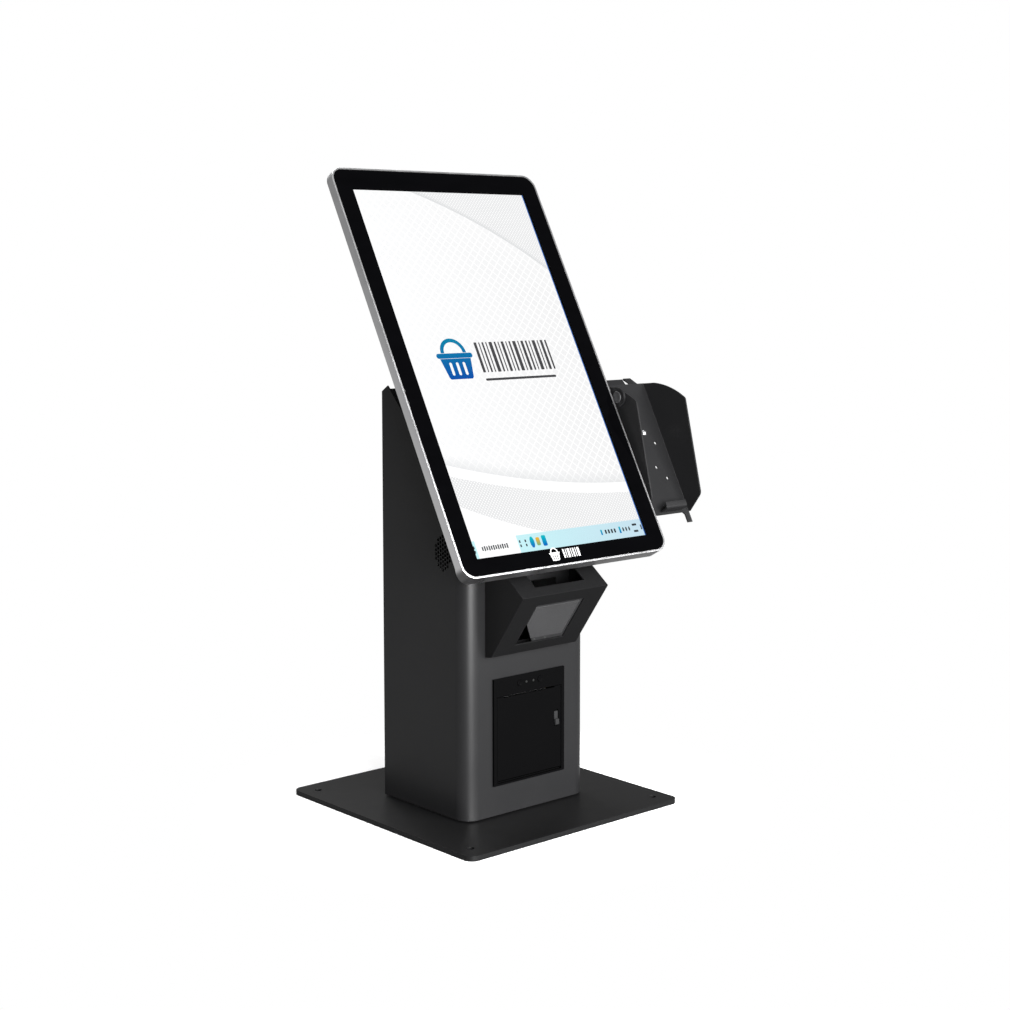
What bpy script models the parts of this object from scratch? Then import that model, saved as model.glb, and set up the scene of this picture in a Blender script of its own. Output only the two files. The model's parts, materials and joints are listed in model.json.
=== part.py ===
"""Countertop self checkout kiosk: base plate, steel column, tilted touch display, barcode
scanner hood, receipt printer with a drop-down door, rear service door and a tilting
payment-terminal cradle.

Frame: X to the right of a person facing the display, front towards -Y, +Z up, origin at the
centre of the base plate's underside. Metres.
"""
import math

import bmesh
import bpy
from mathutils import Matrix, Vector

MM = 0.001
GAP = 0.3 * MM                      # clearance left between neighbouring pieces
SHEET = 2 * MM                      # steel sheet of the column and covers

# Base plate
BASE_HALF_X = 166 * MM
BASE_HALF_Y = 177 * MM
BASE_TOP = 6 * MM
BASE_CORNER = 12 * MM
BOLT_X = 145 * MM
BOLT_Y = 151 * MM
BOLT_RADIUS = 4.5 * MM
CABLE_HOLE = (0.0, 45 * MM)
CABLE_RADIUS = 20 * MM

# Column, a bent sheet that is open at the back
COLUMN_HALF = 96.5 * MM
COLUMN_FRONT = -83 * MM
COLUMN_REAR = 77 * MM
COLUMN_CORNER = 20 * MM
COLUMN_FOOT = BASE_TOP + 1.5 * MM
COLUMN_INNER = COLUMN_HALF - SHEET
TOP_FRONT = (-83 * MM, 340 * MM)    # (y, z) corners of the side panels' top edge
TOP_KNEE = (-55 * MM, 396 * MM)
TOP_PEAK = (65.5 * MM, 516.5 * MM)
TOP_REAR = (77 * MM, 509 * MM)

# Speaker grilles, one in each side
GRILLE_Y = -41 * MM
GRILLE_Z = 324.5 * MM
GRILLE_PITCH = 5 * MM
GRILLE_HOLE = 1.6 * MM

# Display, modelled upright about the middle of its screen and then tipped back
SCREEN_CENTRE = (0.0, -35 * MM, 544 * MM)
TILT = math.radians(29)
SCREEN_HALF_X = 134 * MM
SCREEN_HALF_Z = 238.3 * MM
GLASS_HALF_X = 156.7 * MM
GLASS_BOTTOM = -258.1 * MM
GLASS_TOP = 263.8 * MM
GLASS_CORNER = 15 * MM
RIM = 2.8 * MM
FRAME_DEPTH = 12 * MM
CHIN = 6.5 * MM                     # how much deeper the frame is along its underside
HOUSING_BACK = 40 * MM

# Barcode scanner hood
HOOD_HALF = 67.3 * MM
HOOD_REAR = COLUMN_FRONT - GAP
HOOD_FOOT = (HOOD_REAR, 202 * MM)
HOOD_LIP = (-94.2 * MM, 203.6 * MM)
HOOD_RIDGE = (-151.6 * MM, 281.8 * MM)
HOOD_TOP = (HOOD_REAR, 332.4 * MM)
FACE_TILT = math.atan2(HOOD_LIP[0] - HOOD_RIDGE[0], HOOD_RIDGE[1] - HOOD_LIP[1])

# Receipt printer
BEZEL_HALF = 56 * MM
BEZEL_BOTTOM = 44.2 * MM
BEZEL_TOP = 173.8 * MM
BEZEL_FRONT = -86 * MM
DOOR_HALF = 50.5 * MM
DOOR_BOTTOM = 49.8 * MM
DOOR_TOP = 151 * MM
DOOR_FRONT = -85.7 * MM
DOOR_BACK = -83.2 * MM
DOOR_HINGE = (DOOR_BACK, 52 * MM)
PLATEN_AXIS = (-70 * MM, 141 * MM)
DRIVE_AXIS = (-50 * MM, 141 * MM)
ROLL_AXIS = (-30 * MM, 90 * MM)
ROLL_RADIUS = 34 * MM
BUTTON_Z = 164 * MM
POWER_BUTTON_X = -16 * MM
FEED_BUTTON_X = 16.5 * MM
LATCH_AXIS = (-84.6 * MM, 118.5 * MM)
LATCH_X = 43 * MM
LATCH_HALF = 2.8 * MM

# Rear door, its hinges and its lock
REAR_HINGE = (93.2 * MM, 80 * MM)
REAR_DOOR_BOTTOM = 66 * MM
REAR_DOOR_TOP = 504 * MM
LOCK_X = -75 * MM
LOCK_Z = 300 * MM
ROCKER_X = -22 * MM
ROCKER_TILT = math.radians(6)
PANEL_Z = 36 * MM

# Payment-terminal cradle, modelled upright below its top back corner and then tipped back
CRADLE_TOP = (-20 * MM, 508 * MM)
CRADLE_TILT = math.radians(28)
CRADLE_LEFT = 166.5 * MM
CRADLE_RIGHT = 255.5 * MM
CRADLE_PIVOT = (-66 * MM, 497 * MM)
ARM_LEFT = 163 * MM
ARM_SHEET = 3 * MM


# ---------------------------------------------------------------- tools

def clear_scene():
    for item in list(bpy.data.objects):
        bpy.data.objects.remove(item, do_unlink=True)


def material(name, colour, roughness, metallic=0.0, glow=0.0):
    made = bpy.data.materials.new(name)
    made.use_nodes = True
    shader = made.node_tree.nodes["Principled BSDF"]
    shader.inputs["Base Color"].default_value = (*colour, 1.0)
    shader.inputs["Roughness"].default_value = roughness
    shader.inputs["Metallic"].default_value = metallic
    if glow:
        shader.inputs["Emission Color"].default_value = (*colour, 1.0)
        shader.inputs["Emission Strength"].default_value = glow
    made.diffuse_color = (*colour, 1.0)
    return made


def hang(item, parent):
    """Parent an item and leave it where it is in the world."""
    item.parent = parent
    item.matrix_parent_inverse = Matrix.Translation(-parent.location)


def pivot(name, place, parent=None):
    """An empty on a joint's axis, which the moving pieces hang from."""
    empty = bpy.data.objects.new(name, None)
    empty.empty_display_size = 0.02
    empty.location = place
    bpy.context.collection.objects.link(empty)
    if parent:
        hang(empty, parent)
    return empty


def finish(bm, name, skin, place=(0, 0, 0), tip=0.0, parent=None, smooth=False):
    """Turn a bmesh into an object, tipped about X and set at its place in the world."""
    bmesh.ops.recalc_face_normals(bm, faces=bm.faces)
    mesh = bpy.data.meshes.new(name)
    bm.to_mesh(mesh)
    bm.free()
    if smooth:
        mesh.shade_smooth()
        mesh.set_sharp_from_angle(angle=math.radians(35))
    made = bpy.data.objects.new(name, mesh)
    if skin:
        mesh.materials.append(skin)
    made.location = place
    made.rotation_euler = (tip, 0, 0)
    bpy.context.collection.objects.link(made)
    if parent:
        hang(made, parent)
    return made


def oriented(point, offset, axis):
    """A 2D point and its offset along the axis, as a 3D point."""
    first, second = point
    return {"X": (offset, first, second),
            "Y": (first, offset, second),
            "Z": (first, second, offset)}[axis]


def prism_mesh(outline, low, high, axis):
    bm = bmesh.new()
    ends = [[bm.verts.new(oriented(p, offset, axis)) for p in outline] for offset in (low, high)]
    bm.faces.new(ends[0])
    bm.faces.new(ends[1])
    count = len(outline)
    for i in range(count):
        j = (i + 1) % count
        bm.faces.new((ends[0][i], ends[0][j], ends[1][j], ends[1][i]))
    return bm


def prism(name, skin, outline, low, high, axis, **where):
    return finish(prism_mesh(outline, low, high, axis), name, skin, **where)


def block(name, skin, low, high, **where):
    outline = [(low[0], low[1]), (high[0], low[1]), (high[0], high[1]), (low[0], high[1])]
    return prism(name, skin, outline, low[2], high[2], "Z", **where)


def turned(name, skin, profile, axis, centre, steps, **where):
    """Revolve a profile of (radius, offset) points about an axis through centre.

    A profile that starts and ends at radius 0 is closed by its poles, any other is a ring.
    """
    bm = bmesh.new()
    rings = []
    for radius, offset in profile:
        if radius == 0:
            rings.append([bm.verts.new(oriented(centre, offset, axis))])
            continue
        ring = []
        for i in range(steps):
            turn = 2 * math.pi * i / steps
            point = (centre[0] + radius * math.cos(turn), centre[1] + radius * math.sin(turn))
            ring.append(bm.verts.new(oriented(point, offset, axis)))
        rings.append(ring)
    closed = profile[0][0] == 0
    pairs = list(zip(rings, rings[1:] if closed else rings[1:] + rings[:1]))
    for first, second in pairs:
        for i in range(steps):
            j = (i + 1) % steps
            corners = [first[i % len(first)], first[j % len(first)],
                       second[j % len(second)], second[i % len(second)]]
            bm.faces.new(list(dict.fromkeys(corners)))
    return finish(bm, name, skin, smooth=True, **where)


def disc_profile(radius, low, high):
    return [(0, low), (radius, low), (radius, high), (0, high)]


def tube_profile(inner, outer, low, high):
    return [(inner, low), (outer, low), (outer, high), (inner, high)]


def arc(centre, radius, start, end, steps):
    """Points on an arc, angles in degrees, both ends included."""
    turns = [math.radians(start + (end - start) * i / steps) for i in range(steps + 1)]
    return [(centre[0] + radius * math.cos(t), centre[1] + radius * math.sin(t)) for t in turns]


def rounded_rectangle(left, bottom, right, top, radius, steps=5):
    corners = (((right - radius, bottom + radius), -90), ((right - radius, top - radius), 0),
               ((left + radius, top - radius), 90), ((left + radius, bottom + radius), 180))
    points = []
    for centre, start in corners:
        points += arc(centre, radius, start, start + 90, steps)
    return points


def rotated(points, centre, turn):
    """Turn an outline about a centre, anticlockwise in radians."""
    cosine, sine = math.cos(turn), math.sin(turn)
    return [(centre[0] + (a - centre[0]) * cosine - (b - centre[1]) * sine,
             centre[1] + (a - centre[0]) * sine + (b - centre[1]) * cosine) for a, b in points]


def offset_line(points, distance):
    """Shift an open line to its right by a distance, with mitred corners."""
    line = [Vector(p) for p in points]
    headings = [(b - a).normalized() for a, b in zip(line, line[1:])]
    sides = [Vector((h.y, -h.x)) for h in headings]
    shifted = [line[0] + sides[0] * distance]
    for i in range(1, len(line) - 1):
        mitre = (sides[i - 1] + sides[i]).normalized()
        shifted.append(line[i] + mitre * (distance / mitre.dot(sides[i])))
    shifted.append(line[-1] + sides[-1] * distance)
    return [tuple(p) for p in shifted]


def strip(points, thickness):
    """The outline of a bent sheet that lies to the right of a line."""
    return list(points) + offset_line(points, thickness)[::-1]


def boolean(target, tool, operation):
    """Join or cut with another object, which stays only as a hidden guide."""
    tool.hide_render = True
    tool.display_type = "WIRE"
    step = target.modifiers.new(tool.name, "BOOLEAN")
    step.operation = operation
    step.object = tool
    step.solver = "EXACT"
    return target


def cut(target, tool):
    return boolean(target, tool, "DIFFERENCE")


def join(target, tool):
    return boolean(target, tool, "UNION")


def bore(target, name, axis, centre, radius, low, high, steps=16, **where):
    tool = turned(name, None, disc_profile(radius, low, high), axis, centre, steps, **where)
    return cut(target, tool)


# ---------------------------------------------------------------- materials

def make_materials():
    return {
        "powder_coat": material("powder_coat", (0.030, 0.030, 0.032), 0.50, 0.2),
        "frame_alloy": material("frame_alloy", (0.30, 0.30, 0.31), 0.35, 0.9),
        "steel": material("steel", (0.55, 0.55, 0.56), 0.35, 1.0),
        "black_plastic": material("black_plastic", (0.018, 0.018, 0.019), 0.45),
        "grey_plastic": material("grey_plastic", (0.12, 0.12, 0.125), 0.50),
        "rubber": material("rubber", (0.02, 0.02, 0.02), 0.80),
        "cover_glass": material("cover_glass", (0.005, 0.005, 0.006), 0.06),
        "screen": material("screen", (0.90, 0.92, 0.94), 0.30, 0.0, 1.0),
        "scan_glass": material("scan_glass", (0.16, 0.16, 0.17), 0.10),
        "paper": material("paper", (0.85, 0.85, 0.83), 0.80),
        "board": material("board", (0.02, 0.16, 0.07), 0.50),
        "brass": material("brass", (0.60, 0.45, 0.18), 0.35, 1.0),
        "led": material("led", (0.15, 0.75, 0.30), 0.30, 0.0, 0.5),
    }


# ---------------------------------------------------------------- base and column

def make_base(skins):
    outline = rounded_rectangle(-BASE_HALF_X, -BASE_HALF_Y, BASE_HALF_X, BASE_HALF_Y,
                                BASE_CORNER, 6)
    base = prism("base_plate", skins["powder_coat"], outline, 0, BASE_TOP, "Z")
    for side_x in (-1, 1):
        for side_y in (-1, 1):
            centre = (side_x * BOLT_X, side_y * BOLT_Y)
            bore(base, "bolt_cutter", "Z", centre, BOLT_RADIUS, -MM, BASE_TOP + MM)
    bore(base, "cable_cutter", "Z", CABLE_HOLE, CABLE_RADIUS, -MM, BASE_TOP + MM, 24)
    lip = 3 * MM
    inner = CABLE_RADIUS - lip
    outer = CABLE_RADIUS - GAP
    top = BASE_TOP + GAP
    profile = [(inner, GAP), (outer, GAP), (outer, top), (outer + lip, top),
               (outer + lip, top + 2 * MM), (inner, top + 2 * MM)]
    turned("cable_grommet", skins["rubber"], profile, "Z", CABLE_HOLE, 24)


def make_foot_angles(skins):
    leg, thick, tall = 22 * MM, 3 * MM, 30 * MM
    low = BASE_TOP + GAP
    for side, word in ((-1, "left"), (1, "right")):
        wall = side * (COLUMN_INNER - GAP)
        inner = wall - side * thick
        toe = wall - side * leg
        outline = [(wall, low), (wall, low + tall), (inner, low + tall),
                   (inner, low + thick), (toe, low + thick), (toe, low)]
        prism("foot_angle_" + word, skins["steel"], outline, -58 * MM, 68 * MM, "Y")


def column_outline():
    turn = COLUMN_FRONT + COLUMN_CORNER
    reach = COLUMN_HALF - COLUMN_CORNER
    outer = [(-COLUMN_HALF, COLUMN_REAR)]
    outer += arc((-reach, turn), COLUMN_CORNER, 180, 270, 8)
    outer += arc((reach, turn), COLUMN_CORNER, 270, 360, 8)
    outer += [(COLUMN_HALF, COLUMN_REAR), (COLUMN_INNER, COLUMN_REAR)]
    inner = arc((reach, turn), COLUMN_CORNER - SHEET, 360, 270, 8)
    inner += arc((-reach, turn), COLUMN_CORNER - SHEET, 270, 180, 8)
    return outer + inner + [(-COLUMN_INNER, COLUMN_REAR)]


def grille_holes():
    """Places (y, z) of the grille's holes: staggered rows inside a tall oval."""
    half_wide, half_tall = 16 * MM, 21 * MM
    step = GRILLE_PITCH * math.sqrt(3) / 2
    places = []
    for column in range(-3, 4):
        shift = GRILLE_PITCH / 2 if column % 2 else 0.0
        for row in range(-5, 6):
            y, z = column * step, row * GRILLE_PITCH + shift
            if (y / half_wide) ** 2 + (z / half_tall) ** 2 <= 1:
                places.append((GRILLE_Y + y, GRILLE_Z + z))
    return places


def grille_cutter(side):
    """One mesh of six-sided pins, one for each hole of a side's grille."""
    sides = 6
    low, high = side * (COLUMN_INNER - MM), side * (COLUMN_HALF + MM)
    bm = bmesh.new()
    for centre in grille_holes():
        ring = arc(centre, GRILLE_HOLE, 0, 360 - 360 / sides, sides - 1)
        ends = [[bm.verts.new(oriented(p, x, "X")) for p in ring] for x in (low, high)]
        bm.faces.new(ends[0])
        bm.faces.new(ends[1])
        for i in range(sides):
            j = (i + 1) % sides
            bm.faces.new((ends[0][i], ends[0][j], ends[1][j], ends[1][i]))
    return finish(bm, "grille_cutter", None)


def make_column(skins):
    roof = 530 * MM
    past = 20 * MM
    column = prism("column_shell", skins["powder_coat"], column_outline(),
                   COLUMN_FOOT, roof, "Z")
    slope = (TOP_KNEE[1] - TOP_FRONT[1]) / (TOP_KNEE[0] - TOP_FRONT[0])
    fall = (TOP_PEAK[1] - TOP_REAR[1]) / (TOP_REAR[0] - TOP_PEAK[0])
    above = [(TOP_FRONT[0] - past, TOP_FRONT[1] - past * slope), TOP_KNEE, TOP_PEAK,
             (TOP_REAR[0] + past, TOP_REAR[1] - past * fall),
             (TOP_REAR[0] + past, roof + past), (TOP_FRONT[0] - past, roof + past)]
    across = COLUMN_HALF + past
    cut(column, prism("top_cutter", None, above, -across, across, "X"))
    cut(column, block("printer_cutter", None,
                      (-53.5 * MM, COLUMN_FRONT - past, 45.7 * MM),
                      (53.5 * MM, COLUMN_FRONT + past, 171.5 * MM)))
    cut(column, block("scanner_cutter", None,
                      (-45 * MM, COLUMN_FRONT - past, 215 * MM),
                      (45 * MM, COLUMN_FRONT + past, 285 * MM)))
    for side in (-1, 1):
        cut(column, grille_cutter(side))
    wall = -COLUMN_INNER - MM
    strike = [(wall, 65 * MM), (wall, 50 * MM), (wall + 2.5 * MM, 50 * MM),
              (wall + 2.5 * MM, 63.5 * MM), (wall + 10 * MM, 63.5 * MM),
              (wall + 10 * MM, 65 * MM)]
    join(column, prism("lock_strike", None, strike, LOCK_Z - 14 * MM, LOCK_Z + 14 * MM, "Z"))


def cover_line():
    """The top cover's upper face: set in from the side panels' top edge."""
    inset = 3 * MM
    lip_bottom = 494 * MM
    edge = [TOP_FRONT, TOP_KNEE, TOP_PEAK, TOP_REAR, (TOP_REAR[0], lip_bottom)]
    return offset_line(edge, inset)


def make_top_cover(skins):
    half = COLUMN_INNER - GAP
    cover = prism("top_cover", skins["powder_coat"], strip(cover_line(), SHEET),
                  -half, half, "X")
    bend = COLUMN_FRONT + COLUMN_CORNER
    reach = COLUMN_HALF - COLUMN_CORNER
    radius = COLUMN_CORNER - SHEET - GAP
    plan = [(half, COLUMN_REAR), (-half, COLUMN_REAR)]
    plan += arc((-reach, bend), radius, 180, 270, 8) + arc((reach, bend), radius, 270, 360, 8)
    below, above = TOP_FRONT[1] - 100 * MM, TOP_PEAK[1] + 50 * MM
    boolean(cover, prism("cover_plan", None, plan, below, above, "Z"), "INTERSECT")
    slot = 20 * MM
    cut(cover, block("cable_slot_cutter", None, (-slot, -8 * MM, 400 * MM),
                     (slot, -8 * MM + slot, 520 * MM)))


def make_chassis(skins):
    half = COLUMN_INNER - GAP
    front, back = 17 * MM, 19 * MM
    outline = [(-half, 48 * MM), (half, 48 * MM), (half, 400 * MM), (-half, 400 * MM)]
    prism("chassis_plate", skins["steel"], outline, front, back, "Y")
    block("power_supply", skins["steel"], (-82 * MM, back + GAP, 72 * MM),
          (2 * MM, 60 * MM, 200 * MM))
    block("controller_box", skins["black_plastic"], (-62 * MM, back + GAP, 228 * MM),
          (62 * MM, 58 * MM, 352 * MM))


def make_speakers(skins):
    for side, word in ((-1, "left"), (1, "right")):
        face = side * (COLUMN_INNER - GAP)
        profile = [(0, face - side * 5 * MM), (15 * MM, face - side * MM), (17 * MM, face),
                   (19 * MM, face), (19 * MM, face - side * 3 * MM),
                   (12 * MM, face - side * 12 * MM), (12 * MM, face - side * 18 * MM),
                   (0, face - side * 18 * MM)]
        turned("speaker_" + word, skins["black_plastic"], profile, "X",
               (GRILLE_Y, GRILLE_Z), 20)


# ---------------------------------------------------------------- display

def display_piece(bm, name, skin, **where):
    return finish(bm, name, skin, place=SCREEN_CENTRE, tip=-TILT, **where)


def make_display_frame(skins):
    """A rim round the glass that gets deeper round its lower corners."""
    rim = rounded_rectangle(-GLASS_HALF_X - RIM, GLASS_BOTTOM - RIM, GLASS_HALF_X + RIM,
                            GLASS_TOP + RIM, GLASS_CORNER + RIM, 6)
    inner = rounded_rectangle(-GLASS_HALF_X - GAP, GLASS_BOTTOM - GAP, GLASS_HALF_X + GAP,
                              GLASS_TOP + GAP, GLASS_CORNER + GAP, 6)
    corner_start = GLASS_BOTTOM + GLASS_CORNER
    reach = GLASS_CORNER + RIM
    bm = bmesh.new()
    loops = []
    for ring, back in ((inner, False), (rim, False), (rim, True), (inner, True)):
        loop = []
        for x, z in ring:
            share = min(max((corner_start - z) / reach, 0), 1)
            depth = FRAME_DEPTH + CHIN * share if back else -GAP
            loop.append(bm.verts.new((x, depth, z)))
        loops.append(loop)
    count = len(rim)
    for first, second in zip(loops, loops[1:] + loops[:1]):
        for i in range(count):
            j = (i + 1) % count
            bm.faces.new((first[i], first[j], second[j], second[i]))
    return display_piece(bm, "display_frame", skins["frame_alloy"])


def make_display(skins):
    make_display_frame(skins)
    glass_thick = 3 * MM
    glass = rounded_rectangle(-GLASS_HALF_X, GLASS_BOTTOM, GLASS_HALF_X, GLASS_TOP,
                              GLASS_CORNER, 6)
    display_piece(prism_mesh(glass, 0, glass_thick, "Y"), "cover_glass", skins["cover_glass"])
    panel_edge, panel_thick = 4 * MM, 6 * MM
    panel = [(-SCREEN_HALF_X - panel_edge, -SCREEN_HALF_Z - panel_edge),
             (SCREEN_HALF_X + panel_edge, -SCREEN_HALF_Z - panel_edge),
             (SCREEN_HALF_X + panel_edge, SCREEN_HALF_Z + panel_edge),
             (-SCREEN_HALF_X - panel_edge, SCREEN_HALF_Z + panel_edge)]
    panel_front = glass_thick + GAP
    panel_back = panel_front + panel_thick
    display_piece(prism_mesh(panel, panel_front, panel_back, "Y"), "lcd_panel",
                  skins["screen"])
    make_display_housing(skins, panel_back + GAP)
    board_front = panel_back + 7 * MM
    board = [(-70 * MM, -70 * MM), (70 * MM, -70 * MM), (70 * MM, 30 * MM), (-70 * MM, 30 * MM)]
    display_piece(prism_mesh(board, board_front, board_front + 1.6 * MM, "Y"),
                  "display_board", skins["board"])


def make_display_housing(skins, front):
    """A back plate inside the rim with a box on it, open towards the screen."""
    edge = 2 * GAP
    plate = rounded_rectangle(-GLASS_HALF_X + edge, GLASS_BOTTOM + edge, GLASS_HALF_X - edge,
                              GLASS_TOP - edge, GLASS_CORNER, 6)
    half, bottom, top = 118 * MM, -222 * MM, 222 * MM
    wall = 2 * MM
    housing = display_piece(prism_mesh(plate, front, front + wall, "Y"), "display_housing",
                            skins["powder_coat"])
    box = rounded_rectangle(-half, bottom, half, top, 10 * MM, 4)
    join(housing, display_piece(prism_mesh(box, front + MM, HOUSING_BACK, "Y"),
                                "housing_box", None))
    room = rounded_rectangle(-half + wall, bottom + wall, half - wall, top - wall, 8 * MM, 4)
    cut(housing, display_piece(prism_mesh(room, front - MM, HOUSING_BACK - wall, "Y"),
                               "housing_room", None))


def make_display_mount(skins):
    """A bent bracket between the display's back and the column's sloping top."""
    half, thick, reach = 60 * MM, 3 * MM, 150 * MM
    front = HOUSING_BACK + GAP
    channel = [(-half, front), (half, front), (half, reach), (half - thick, reach),
               (half - thick, front + thick), (-half + thick, front + thick),
               (-half + thick, reach), (-half, reach)]
    mount = display_piece(prism_mesh(channel, -58 * MM, 58 * MM, "Z"), "display_mount",
                          skins["powder_coat"])
    line = cover_line()
    knee, peak = Vector(line[1]), Vector(line[2])
    rise = Vector((0, 2 * GAP))
    along = (peak - knee).normalized() * 0.3
    low, high = knee - along + rise, peak + along + rise
    far_below, across = 100 * MM, 100 * MM
    below = [tuple(low), tuple(high), (high.x, far_below), (low.x, far_below)]
    cut(mount, prism("mount_cutter", None, below, -across, across, "X"))
    behind = [(37 * MM, 600 * MM), (37 * MM, 574 * MM), (58 * MM, 500 * MM),
              (150 * MM, 500 * MM), (150 * MM, 600 * MM)]
    cut(mount, prism("mount_trim", None, behind, -across, across, "X"))
    vesa = 50 * MM
    head, head_tall = 3.6 * MM, 2.4 * MM
    start = front + thick + GAP
    for number, (x, z) in enumerate(((-45, -vesa), (45, -vesa), (-45, vesa), (45, vesa)), 1):
        centre = (x * MM, z * 0.9)
        turned(f"mount_screw_{number}", skins["steel"],
               disc_profile(head, start, start + head_tall), "Y", centre, 12,
               place=SCREEN_CENTRE, tip=-TILT)


# ---------------------------------------------------------------- scanner

def face_piece(bm, name, skin, **where):
    """A piece drawn flat on the hood's lower face: X across, Y into the hood, Z up the face."""
    return finish(bm, name, skin, place=(0, *HOOD_LIP), tip=FACE_TILT, **where)


def scanner_face(left, bottom, right, top):
    """A plate of the scanner: a rectangle with one lower corner cut off along a fixed line."""
    low_x, side_z = -12.6 * MM, 48.9 * MM
    face_left, face_bottom = -36.6 * MM, 15.9 * MM
    slope = (side_z - face_bottom) / (face_left - low_x)
    return [(low_x + (bottom - face_bottom) / slope, bottom), (right, bottom), (right, top),
            (left, top), (left, side_z + (left - face_left) * slope)]


def make_scanner(skins):
    outer = [HOOD_FOOT, HOOD_LIP, HOOD_RIDGE, HOOD_TOP]
    hood = prism("scanner_hood", skins["powder_coat"], outer, -HOOD_HALF, HOOD_HALF, "X")
    past = 8 * MM
    foot, lip, ridge, top = offset_line(outer, SHEET)
    rise = (top[1] - ridge[1]) / (top[0] - ridge[0])
    back = HOOD_REAR + past
    room = [(back, foot[1]), lip, ridge, (back, ridge[1] + rise * (back - ridge[0]))]
    half = HOOD_HALF - SHEET
    cut(hood, prism("hood_room", None, room, -half, half, "X"))
    hole = [(-37.3 * MM, 15.2 * MM), (37.3 * MM, 15.2 * MM),
            (37.3 * MM, 80 * MM), (-37.3 * MM, 80 * MM)]
    cut(hood, face_piece(prism_mesh(hole, -5 * MM, 4 * MM, "Y"), "hood_window_cutter", None))
    cut(hood, block("hood_slot_cutter", None, (-38.5 * MM, -140.2 * MM, 285 * MM),
                    (38.5 * MM, -108 * MM, 320 * MM)))
    face_in, face_out = 1.7 * MM, 4.7 * MM
    plate = scanner_face(-36.6 * MM, 15.9 * MM, 36.6 * MM, 79.3 * MM)
    module = face_piece(prism_mesh(plate, face_in, face_out, "Y"),
                        "scanner_module", skins["black_plastic"])
    body = [(-29 * MM, 44 * MM), (-12 * MM, 22 * MM), (29 * MM, 22 * MM), (29 * MM, 74 * MM),
            (-29 * MM, 74 * MM)]
    join(module, face_piece(prism_mesh(body, face_out - MM, 34 * MM, "Y"), "module_body", None))
    pane = scanner_face(-36.2 * MM, 22 * MM, 32.6 * MM, 76.8 * MM)
    face_piece(prism_mesh(pane, face_in - GAP - MM, face_in - GAP, "Y"), "scanner_window",
               skins["scan_glass"])
    strap_half, strap_front, strap_back = 32.3 * MM, 8 * MM, 36 * MM
    thick, ear = 1.5 * MM, 46 * MM
    strap = [(-ear, strap_front), (-strap_half, strap_front), (-strap_half, strap_back),
             (strap_half, strap_back), (strap_half, strap_front), (ear, strap_front),
             (ear, strap_front + thick), (strap_half + thick, strap_front + thick),
             (strap_half + thick, strap_back + thick),
             (-strap_half - thick, strap_back + thick),
             (-strap_half - thick, strap_front + thick), (-ear, strap_front + thick)]
    face_piece(prism_mesh(strap, 44 * MM, 56 * MM, "Z"), "scanner_bracket", skins["steel"])


# ---------------------------------------------------------------- printer

def make_printer_bezel(skins):
    bezel = block("printer_bezel", skins["black_plastic"],
                  (-BEZEL_HALF, BEZEL_FRONT, BEZEL_BOTTOM),
                  (BEZEL_HALF, COLUMN_FRONT - GAP, BEZEL_TOP))
    side, foot_gap = 0.7 * MM, 3.2 * MM
    cut(bezel, block("door_cutter", None,
                     (-DOOR_HALF - side, BEZEL_FRONT - MM, DOOR_BOTTOM - foot_gap),
                     (DOOR_HALF + side, COLUMN_FRONT + MM, DOOR_TOP + side)))
    holes = ((POWER_BUTTON_X, 3.9 * MM), (FEED_BUTTON_X, 4.4 * MM),
             (-5 * MM, 1.8 * MM), (6 * MM, 1.8 * MM))
    for x, radius in holes:
        bore(bezel, "button_cutter", "Y", (x, BUTTON_Z), radius, BEZEL_FRONT - MM,
             COLUMN_FRONT + MM, 14)


def make_printer_bucket(skins):
    half, wall = 52.3 * MM, 1.4 * MM
    low, high = 46.2 * MM, 171 * MM
    front, back = -82.6 * MM, 16.5 * MM
    bucket = block("printer_bucket", skins["grey_plastic"], (-half, front, low),
                   (half, back, high))
    cut(bucket, block("bucket_room", None, (-half + wall, front - MM, low + wall),
                      (half - wall, back - wall, high - wall)))


def make_printer_controls(skins):
    for word, x, radius in (("power", POWER_BUTTON_X, 3.5 * MM), ("feed", FEED_BUTTON_X, 4 * MM)):
        name = word + "_button"
        axle = pivot(name + "_axis", (x, BEZEL_FRONT, BUTTON_Z))
        profile = [(0, -87 * MM), (radius - 0.6 * MM, -87 * MM), (radius, -86.4 * MM),
                   (radius, -82.4 * MM), (radius + MM, -82.4 * MM),
                   (radius + MM, -81.2 * MM), (0, -81.2 * MM)]
        turned(name, skins["black_plastic"], profile, "Y", (x, BUTTON_Z), 16, parent=axle)
    for word, x in (("ready", -5 * MM), ("paper", 6 * MM)):
        turned(f"{word}_led", skins["led"], disc_profile(1.5 * MM, -86.2 * MM, -81.5 * MM),
               "Y", (x, BUTTON_Z), 10)


def make_print_mechanism(skins):
    block("thermal_head", skins["steel"], (-44 * MM, -64.6 * MM, 132 * MM),
          (44 * MM, -61.6 * MM, 149 * MM))
    block("paper_cutter", skins["steel"], (-45 * MM, -81.5 * MM, 152.6 * MM),
          (45 * MM, -63 * MM, 158.6 * MM))
    turned("feed_motor", skins["steel"], disc_profile(10 * MM, 20 * MM, 45 * MM), "X",
           DRIVE_AXIS, 20)


def gear_outline(centre, teeth, tip):
    """A spur gear's outline, four points to a tooth."""
    root = tip - 1.8 * MM
    pitch = 2 * math.pi / teeth
    points = []
    for i in range(teeth):
        for share, radius in ((0.22, root), (0.36, tip), (0.66, tip), (0.80, root)):
            turn = (i + share) * pitch
            points.append((centre[0] + radius * math.cos(turn),
                           centre[1] + radius * math.sin(turn)))
    return points


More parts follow.
